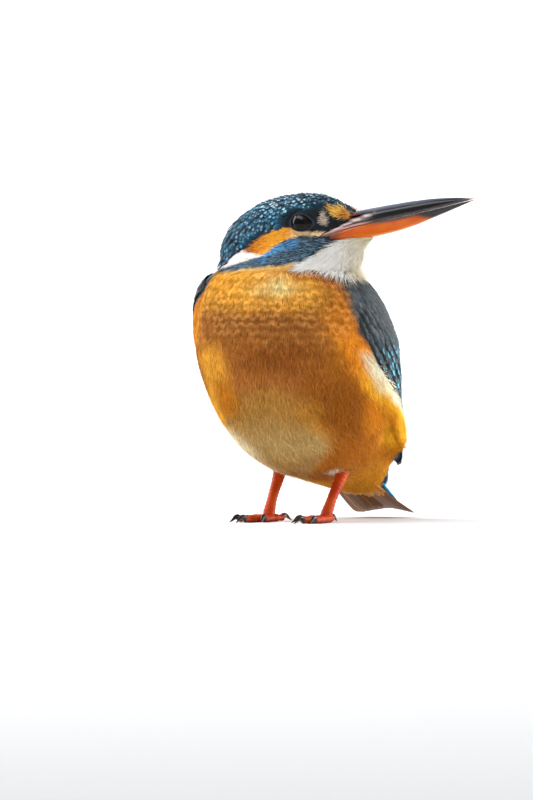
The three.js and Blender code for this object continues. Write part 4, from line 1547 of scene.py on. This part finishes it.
def tail_coverts(name, turned, base_colour, tip_colour, rows):
    """Soft pointed feathers over the root of the tail, or under it when turned is -1.
    Each row is given by its y, its feathers' length and their height over the tail."""
    laid = []
    for row, (y, length, height) in enumerate(rows):
        for k in np.linspace(-1, 1, 8 if row % 2 else 9):
            start = y + rng.uniform(-0.5, 0.5) - 1.4 * k * k
            laid.append((start, k + rng.uniform(-0.04, 0.04), length * rng.uniform(0.93, 1.05), height))
    starts, places, reach, high = np.array(laid).T
    count = len(starts)
    extra = 0.3 if turned < 0 else 0.0

    def place_at(along, side_mm):
        share = along / reach
        t = (starts + along - TAIL_START) / TAIL_LENGTH
        spots, normals = tail_sheet(t, places * (6.4 + 0.9 * share) + side_mm)
        over = high + 2.4 * (1 - share) ** 2 - 0.5 * places**2 + extra
        return spots + normals * (turned * over)[:, None], normals * turned

    roots, _ = place_at(reach * 0, reach * 0)
    tone = np.clip(1 + 0.22 * rng.normal(size=count), 0.5, 1.6)[:, None]
    lay_vanes(name, place_at, reach, np.full(count, 3.4), nearest_uv(roots),
              base_colour * tone, tip_colour * tone, CROWN_WEB, "tail_feathers",
              wide=3, long=8, thick=0.08, camber=0.12, blunt=0.55)


tail_feathers()
tail_coverts("tail_coverts_over", 1.0, C_BACK * 0.5, C_RUMP,
             [(34, 12, 0.75), (31.5, 11.5, 0.95), (29, 11.5, 1.2)])
tail_coverts("tail_coverts_under", -1.0, rgb(176, 108, 26), rgb(214, 150, 66),
             [(31, 10.5, 0.45), (28.5, 10.5, 0.7), (26, 10.5, 1.0)])


# ---------- lofted pieces ----------
def loft(rings):
    """A closed body through rings of points: a circle drawn out ring by ring, with both ends filled."""
    bm = bmesh.new()
    ring = list(bmesh.ops.create_circle(bm, segments=len(rings[0]), radius=1.0)["verts"])
    first = edges = bm.edges[:]
    place_verts(ring, rings[0])
    for places in rings[1:]:
        drawn = bmesh.ops.extrude_edge_only(bm, edges=edges)["geom"]
        new = {g for g in drawn if isinstance(g, bmesh.types.BMVert)}
        ring = [next(e.other_vert(v) for e in v.link_edges if e.other_vert(v) in new) for v in ring]
        edges = [g for g in drawn if isinstance(g, bmesh.types.BMEdge) and set(g.verts) <= new]
        place_verts(ring, places)
    for rim in (first, edges):
        bmesh.ops.edgeloop_fill(bm, edges=rim)
    return bm


def add_bmesh(target, source):
    """Moves everything in one bmesh into another."""
    held = bpy.data.meshes.new("held")
    source.to_mesh(held)
    source.free()
    target.from_mesh(held)
    bpy.data.meshes.remove(held)


def tube_rings(points, radii, sides=14, squash=1.0, up=(0, 0, 1)):
    """Rings round a smooth line of points; squash flattens them along up."""
    points = np.array(points, float)
    tangents = unit(np.gradient(points, axis=0))
    rings = []
    angles = np.linspace(0, 2 * np.pi, sides, endpoint=False)
    for place, way, radius in zip(points, tangents, radii):
        high = unit(np.array(up) - way * np.dot(way, up))
        wide = np.cross(way, high)
        ring = np.cos(angles)[:, None] * wide + squash * np.sin(angles)[:, None] * high
        rings.append(place + radius * ring)
    return rings


def line_through(points, count):
    return smooth_line(np.array(points, float), np.linspace(0, 1, count))


def above_floor(rings, lowest):
    return [np.maximum(ring, [-np.inf, -np.inf, lowest]) for ring in rings]


# ---------- bill ----------
BILL_WIDTH = np.array([6.2, 5.7, 4.8, 3.8, 3.0, 2.1, 1.3, 0.3])[:, None]
UPPER_HEIGHT = np.array([5.3, 4.9, 4.55, 4.2, 3.9, 3.15, 1.9, 0.25])[:, None]
LOWER_HEIGHT = np.array([2.7, 3.35, 3.5, 3.5, 2.9, 1.95, 1.05, 0.25])[:, None]
# One side of each mandible's section, from the cutting edge to the ridge: share of width, share of height.
UPPER_SECTION = [
    (0.0, 0.02), (0.55, 0.015), (0.94, 0.0), (1.0, 0.06), (0.985, 0.15), (0.95, 0.24), (0.93, 0.36),
    (0.9, 0.5), (0.78, 0.64), (0.56, 0.79), (0.34, 0.9), (0.15, 0.975), (0.0, 1.0),
]
LOWER_SECTION = [
    (0.0, 0.02), (0.55, 0.015), (0.93, 0.0), (0.98, 0.07), (0.97, 0.18), (0.95, 0.32), (0.9, 0.48),
    (0.8, 0.64), (0.64, 0.79), (0.42, 0.92), (0.2, 0.985), (0.0, 1.0),
]


def bill_middle(s):
    return GAPE + BILL_LENGTH * s * BILL_WAY


def bill_half(section, heights, side, scale):
    """Rings of a mandible from its root in the head to its tip: side is 1 for the upper, -1 for the lower."""
    rings = []
    for s in np.concatenate([np.linspace(-BILL_ROOT, 0.9, 58), np.linspace(0.91, 1.0, 12)]):
        t = np.array([np.clip(s, 0, 1)])
        inside = max(0.0, -s) / BILL_ROOT
        half = smooth_line(BILL_WIDTH, t)[0, 0] * scale * (1 - 0.5 * inside)
        high = smooth_line(heights, t)[0, 0] * (1 - 0.35 * inside)
        end = math.sqrt(max(1 - max(0.0, (s - 0.975) / 0.025) ** 2, 0.004))
        middle = bill_middle(s)
        middle[2] += curve(MOUTH_SAG, s)
        # at its root the upper half is pinched above a flared edge, and the lower one is narrow and full
        if side > 0:
            pinch, full, spread_up = 0.14 * band(s, (0.02, 0.12), (0.2, 0.42)), 0.0, 0.3
            flare = np.interp(s, [-BILL_ROOT, 0, 0.02, 0.05, 0.08, 0.11, 0.16],
                              [0.3, 0.32, 0.4, 0.34, 0.2, 0.1, 0])
        else:
            pinch, full, spread_up = 0.0, 0.3 * step(0.22, 0.1, s) * step(0.0, 0.07, s), 1.1
            flare = np.interp(s, [-BILL_ROOT, 0.03, 0.05, 0.075, 0.11, 0.16], [0, 0, 0.22, 0.24, 0.1, 0])
            half = half * (1 - 0.45 * step(0.075, 0.03, s))
        line = []
        for a, b in section:
            wide = 1 - pinch * math.sin(math.pi * np.clip((b - 0.25) / 0.6, 0, 1))
            wide += flare * math.exp(-((b / spread_up) ** 2)) + full * math.sin(math.pi * min(b, 1.0))
            line.append((a * wide, b))
        outline = line + [(-a, b) for a, b in line[-2:0:-1]]
        half, high = half * end, high * end
        rings.append([middle + np.array([0, a * half, side * (0.12 + b * high)]) for a, b in outline])
    return rings


def upper_colours(p):
    s, h = bill_place(p)
    w = wobble(p, 1.5, 4)
    level = h / smooth_line(UPPER_HEIGHT, np.clip(s, 0, 1))[:, 0]
    facet = level - np.interp(s, [0.2, 0.35, 0.5, 0.7, 0.85, 1], [0.72, 0.66, 0.68, 0.78, 0.88, 1.1])
    fold = h - (0.7 + 8.3 * (s - 0.09))  # over the fold that runs up from the gape
    return layered(
        rgb(15, 15, 19),
        # the ridge's pale facet: partly the bill's own lilac-grey, partly painted reflection of the sky
        (rgb(76, 79, 97), step(-0.03, 0.1, facet) * step(0.15, 0.3, s)),
        (rgb(52, 24, 22), step(0.34, 0.2, s + 0.03 * w) * step(0.3, -0.1, fold)),
        (rgb(74, 66, 62), step(0.9, 0.4, h) * step(0.2, 0.4, s)),
        (rgb(222, 176, 166), 0.85 * step(0.62, 0.3, h) * step(0.36, 0.24, s) * step(0.03, 0.1, s)),
        (rgb(120, 60, 44), 0.8 * step(0.9, 0.3, h) * step(0.1, 0.02, s)),
        (rgb(214, 180, 176), 0.85 * step(0.42, 0.12, np.abs(fold)) * band(s, (0.0, 0.08), (0.28, 0.36))),
        (rgb(168, 146, 124), step(0.955, 0.985, s)),
    )


def lower_colours(p):
    s, h = bill_place(p)
    w = wobble(p, 1.2, 6)
    dark = step(0.62, 0.7, s + 0.05 * (h + 1.5) + 0.008 * w)
    return layered(
        rgb(200, 92, 0),
        (rgb(182, 70, 0), 0.5 + 0.5 * w),
        (rgb(210, 104, 4), step(-1.4, -3.2, h) * 0.6),
        (rgb(92, 48, 34), 0.95 * step(0.2, 0.1, s + 0.03 * w - 0.02 * (h + 1))),
        (rgb(44, 40, 40), dark),
        (rgb(84, 66, 56), step(-1.0, -0.55, h) * step(0.28, 0.42, s) * (1 - dark)),
        (rgb(216, 160, 140), 0.8 * step(-0.45, -0.2, h) * step(0.3, 0.2, s) * step(0.03, 0.1, s)),
        (rgb(160, 138, 116), step(0.95, 0.985, s)),
    )


def make_bill():
    for word, side, section, heights, scale, colours, slot in (
        ("upper", 1, UPPER_SECTION, UPPER_HEIGHT, 1.0, upper_colours, "bill_black"),
        ("lower", -1, LOWER_SECTION, LOWER_HEIGHT, 0.97, lower_colours, "bill_orange"),
    ):
        mesh = mesh_of(f"bill_{word}_horn", loft(bill_half(section, heights, side, scale)))
        paint(mesh, colours(points_of(mesh)))
        new_object(f"bill_{word}_horn", mesh, HORN, slot, f"bill_{word}")


def nostril_slits():
    start, end, count = 0.155, 0.255, 9
    radii = 0.36 * np.sin(np.linspace(0.08, 0.96, count) * np.pi) + 0.04
    for word, side in SIDES:
        line = []
        for s in np.linspace(start, end, count):
            half = smooth_line(BILL_WIDTH, np.array([s]))[0, 0]
            line.append(bill_middle(s) + np.array([0, side * half * 0.74, 2.55 + 1.2 * (s - start)]))
        mesh = mesh_of(f"nostril_{word}", loft(tube_rings(line, radii, 10, 0.6)))
        paint(mesh, np.tile(rgb(120, 18, 14), (len(mesh.vertices), 1)))
        new_object(f"nostril_{word}", mesh, HORN, "bill_black")


make_bill()
nostril_slits()


# ---------- eyes ----------
PUPIL_EDGE = (1.9, 2.1)
IRIS_EDGE = (2.5, 2.9)


def make_eyes():
    for word, side in SIDES:
        bm = bmesh.new()
        bmesh.ops.create_uvsphere(bm, u_segments=48, v_segments=32, radius=EYE_RADIUS)
        bmesh.ops.rotate(bm, verts=bm.verts, matrix=Matrix.Rotation(math.radians(90), 3, "X"))
        middle = (EYE_PLACE[0], HEAD_MIDDLE + side * EYE_OUT, EYE_PLACE[2])
        bmesh.ops.translate(bm, verts=bm.verts, vec=middle)
        mesh = mesh_of(f"eyeball_{word}", bm)
        p = points_of(mesh)
        ring = np.hypot(p[:, 0] - EYE_PLACE[0], p[:, 2] - EYE_PLACE[2])
        iris, rim = (rgb(20, 13, 10), step(*PUPIL_EDGE, ring)), (rgb(8, 7, 8), step(*IRIS_EDGE, ring))
        paint(mesh, layered(rgb(3, 3, 5), iris, rim))
        new_object(f"eyeball_{word}", mesh, EYE, "eye", f"eye_{word}")


make_eyes()


# ---------- legs, toes and claws ----------
TOES = [  # name, turn from straight ahead in degrees, length, claw length, root across the foot
    ("inner", 16, 8.2, 3.6, -1.1),
    ("middle", 0, 13.2, 4.4, 0.1),
    ("outer", -9, 11.4, 3.8, 1.3),
    ("hind", 172, 6.4, 4.0, -0.5),
]
SCUTE = 0.12  # how far each scale's edge stands out, as a share of the radius
C_LEG = rgb(172, 34, 2)
C_LEG_DARK = rgb(112, 20, 8)


def scute_rings(points, radii, pitch, sides, squash, up):
    """Rings with a small overlapping edge at every scute."""
    travelled = np.concatenate([[0], np.cumsum(np.linalg.norm(np.diff(points, axis=0), axis=1))])
    saw = (travelled / pitch) % 1.0
    return tube_rings(points, radii * (1 - SCUTE * 0.5 + SCUTE * saw), sides, squash, up)


def make_claw(name, start, way, length):
    """A curved claw of horn from the end of a toe, down to the floor."""
    arch = (
        (0, 0.1), (0.25 * length, 0.55), (0.55 * length, 0.45), (0.85 * length, -0.25), (length + 0.75, -0.85),
    )
    points = [start + way * ahead + [0, 0, up] for ahead, up in arch]
    share = np.linspace(0, 1, 16)
    radii = np.interp(share, [0, 0.3, 1], [0.85, 0.72, 0.06])
    rings = tube_rings(line_through(points, len(share)), radii, 12, 1.15)
    mesh = mesh_of(f"{name}_horn", loft(above_floor(rings, 0.01)))
    out = np.linalg.norm(points_of(mesh) - start, axis=1)
    paint(mesh, mix(rgb(72, 56, 50), rgb(20, 17, 17), step(0.5, 2.2, out)))
    new_object(f"{name}_horn", mesh, HORN, "claw", name)


def make_leg(word, side):
    """A scaled shank from the thigh's feathers to the foot, with its four toes and their claws."""
    bm = bmesh.new()
    foot = np.array([side * FOOT_OUT, -1, TOE_AXIS])
    ankle, hock = foot + [0, 0.3, 0.4], np.array([side * (FOOT_OUT + 0.8), 6.5, 12.5])
    thigh = np.array([side * (FOOT_OUT + 1.2), 9, 17])
    middle = (ankle + hock) / 2 + [0, -0.4, 0]
    line = line_through([ankle - [0, 0, 0.5], ankle, middle, hock, thigh], 90)
    radii = smooth_line(np.array([0.9, 1.7, 1.4, 1.7, 2.1])[:, None], np.linspace(0, 1, 90))[:, 0]
    add_bmesh(bm, loft(above_floor(scute_rings(line, radii, 1.35, 20, 1.0, (0.02, -1, 0.5)), 0.05)))
    share = np.linspace(0, 1, 64)
    for name, turn, length, claw, root in TOES:
        angle = math.radians(turn)
        way = np.array([-side * math.sin(angle), -math.cos(angle), 0])
        start = foot + [side * root, 0, 0] - way * 0.6
        reach = length + 0.6
        line = start + way * (share * reach)[:, None]
        knuckles = 0.1 * np.cos(share * (2 if length < 9 else 3) * 2 * np.pi)
        ends = round_end(share + 0.02, 0.12) * round_end(1.02 - share, 0.12)
        line[:, 2] = TOE_AXIS + 0.1 * knuckles
        radii = TOE_RADIUS * (1.0 - 0.2 * share + knuckles) * ends
        add_bmesh(bm, loft(above_floor(scute_rings(line, radii, 1.0, 16, 0.92, (0, 0, 1)), 0.02)))
        make_claw(f"claw_{word}_{name}", start + way * (reach - 0.5), way, claw)
    mesh = mesh_of(f"leg_{word}_skin", bm)
    p = points_of(mesh)
    grooves = 0.5 + 0.5 * np.sin(2 * np.pi * (p[:, 1] * 0.98 + 0.2 * p[:, 2]))
    paint(mesh, layered(
        C_LEG,
        (rgb(200, 76, 4), 0.5 + 0.5 * wobble(p, 1.4, 8)),
        (C_LEG_DARK, 0.35 * step(0.6, 1.0, grooves) * (p[:, 2] < 3.2)),
        (C_LEG_DARK, 0.7 * step(0.9, 0.2, p[:, 2])),
    ))
    new_object(f"leg_{word}_skin", mesh, LEG, "leg_skin", f"leg_{word}")


for word, side in SIDES:
    make_leg(word, side)


# ---------- floor, light and camera ----------
AZIMUTH = math.radians(30)
AWAY = np.array([math.sin(AZIMUTH), -math.cos(AZIMUTH), 0])
RIGHT = np.array([math.cos(AZIMUTH), math.sin(AZIMUTH), 0])
UP = np.array([0, 0, 1.0])
VIEW_DISTANCE = 2.0
VIEW_HEIGHT = 0.228  # metres from the bottom of the view to its top, at the bird
CAMERA_RISE = 0.03  # how much higher the camera stands than the place it looks at
SENSOR = 36.0
# The floor, in metres: half its width, where it starts and ends, the radius of its curve, and its top.
FLOOR_HALF, FLOOR_FRONT, FLOOR_BACK, FLOOR_CURVE, FLOOR_TOP = 4.0, -1.8, 2.6, 1.4, 5.0


def stage_floor():
    """A pale floor that curves up into a backdrop."""
    bm = bmesh.new()
    flat = bmesh.ops.create_grid(bm, x_segments=1, y_segments=1, size=1.0)["verts"]
    bmesh.ops.scale(bm, verts=flat, vec=(FLOOR_HALF, (FLOOR_BACK - FLOOR_FRONT) / 2, 1))
    bmesh.ops.translate(bm, verts=flat, vec=(0, (FLOOR_BACK + FLOOR_FRONT) / 2, 0))
    edge = [e for e in bm.edges if all(v.co.y > FLOOR_BACK - 0.1 for v in e.verts)]
    turns = 10
    curved = [(FLOOR_CURVE * math.sin(a), FLOOR_CURVE * (1 - math.cos(a)))
              for a in np.linspace(0, math.pi / 2, turns + 1)[1:]]
    for back, up in curved + [(FLOOR_CURVE, FLOOR_TOP)]:
        drawn = bmesh.ops.extrude_edge_only(bm, edges=edge)["geom"]
        edge = [g for g in drawn if isinstance(g, bmesh.types.BMEdge)]
        for v in (g for g in drawn if isinstance(g, bmesh.types.BMVert)):
            v.co.y, v.co.z = FLOOR_BACK + back, up
    for face in bm.faces:
        face.smooth = True
    bmesh.ops.transform(bm, matrix=Matrix.Rotation(AZIMUTH, 4, "Z"), verts=bm.verts)
    mesh = bpy.data.meshes.new("floor")
    bm.to_mesh(mesh)
    bm.free()
    made, _, shader = material("floor_paint", 0.9, specular=0.1)
    shader.inputs["Base Color"].default_value = (0.93, 0.935, 0.94, 1)
    mesh.materials.append(made)
    floor = bpy.data.objects.new("floor", mesh)
    bpy.context.scene.collection.objects.link(floor)


def aimed(name, data, place, aim):
    """An object at a place, turned to look at another."""
    made = bpy.data.objects.new(name, data)
    bpy.context.scene.collection.objects.link(made)
    made.location = place
    made.rotation_euler = Vector(aim - place).to_track_quat("-Z", "Y").to_euler()
    return made


def lamp_place(away, right, up):
    return AWAY * away + RIGHT * right + UP * up


def soft_light(name, place, size, power, aim=(0, 0, 0.045)):
    data = bpy.data.lights.new(name, "AREA")
    data.shape = "RECTANGLE"
    data.size, data.size_y = size
    data.energy = power
    aimed(name, data, lamp_place(*place), np.array(aim))


def throat_light(place, aim, cone, power):
    """A narrow soft lamp from low in front that lifts the shade under the bill."""
    data = bpy.data.lights.new("throat", "SPOT")
    data.spot_size, data.spot_blend = math.radians(cone), 1.0
    data.shadow_soft_size = 0.05
    data.energy = power
    aimed("throat", data, lamp_place(*place), aim)


def set_camera():
    target = in_row(RIGHT * -8.98 + np.array([0, 0, 34.8]))
    data = bpy.data.cameras.new("camera")
    data.sensor_fit = "VERTICAL"
    data.sensor_height = SENSOR
    data.lens = SENSOR * VIEW_DISTANCE / VIEW_HEIGHT
    data.clip_end = 50
    place = target + AWAY * VIEW_DISTANCE + UP * CAMERA_RISE
    bpy.context.scene.camera = aimed("camera", data, place, target)


def stage_lights():
    """Soft lamps round the bird. Their places are in metres towards the camera, to its right and up."""
    bpy.context.scene.view_settings.view_transform = "Standard"
    world = bpy.data.worlds.new("studio")
    world.use_nodes = True
    background = world.node_tree.nodes["Background"].inputs
    background["Color"].default_value = (0.96, 0.98, 1.0, 1)
    background["Strength"].default_value = 0.5
    bpy.context.scene.world = world
    soft_light("key", (0.3, -0.5, 0.85), (1.1, 0.4), 9)
    soft_light("rim_right", (-0.35, 0.9, 0.35), (0.5, 0.7), 9)
    soft_light("rim_left", (-0.45, -0.9, 0.45), (0.5, 0.7), 7)
    soft_light("side", (0.05, 0.95, 0.06), (0.5, 0.3), 3.2, aim=(0, 0, 0.07))
    throat_light((0.5, 0.5, 0.02), in_row(np.array([18, HEAD_MIDDLE - 2, 76.5])), 3.2, 13)
    soft_light("wall", (-1.2, 0, 1.8), (3.0, 0.6), 90, aim=-AWAY * 3.4 + UP * 0.6)


stage_floor()
stage_lights()
set_camera()
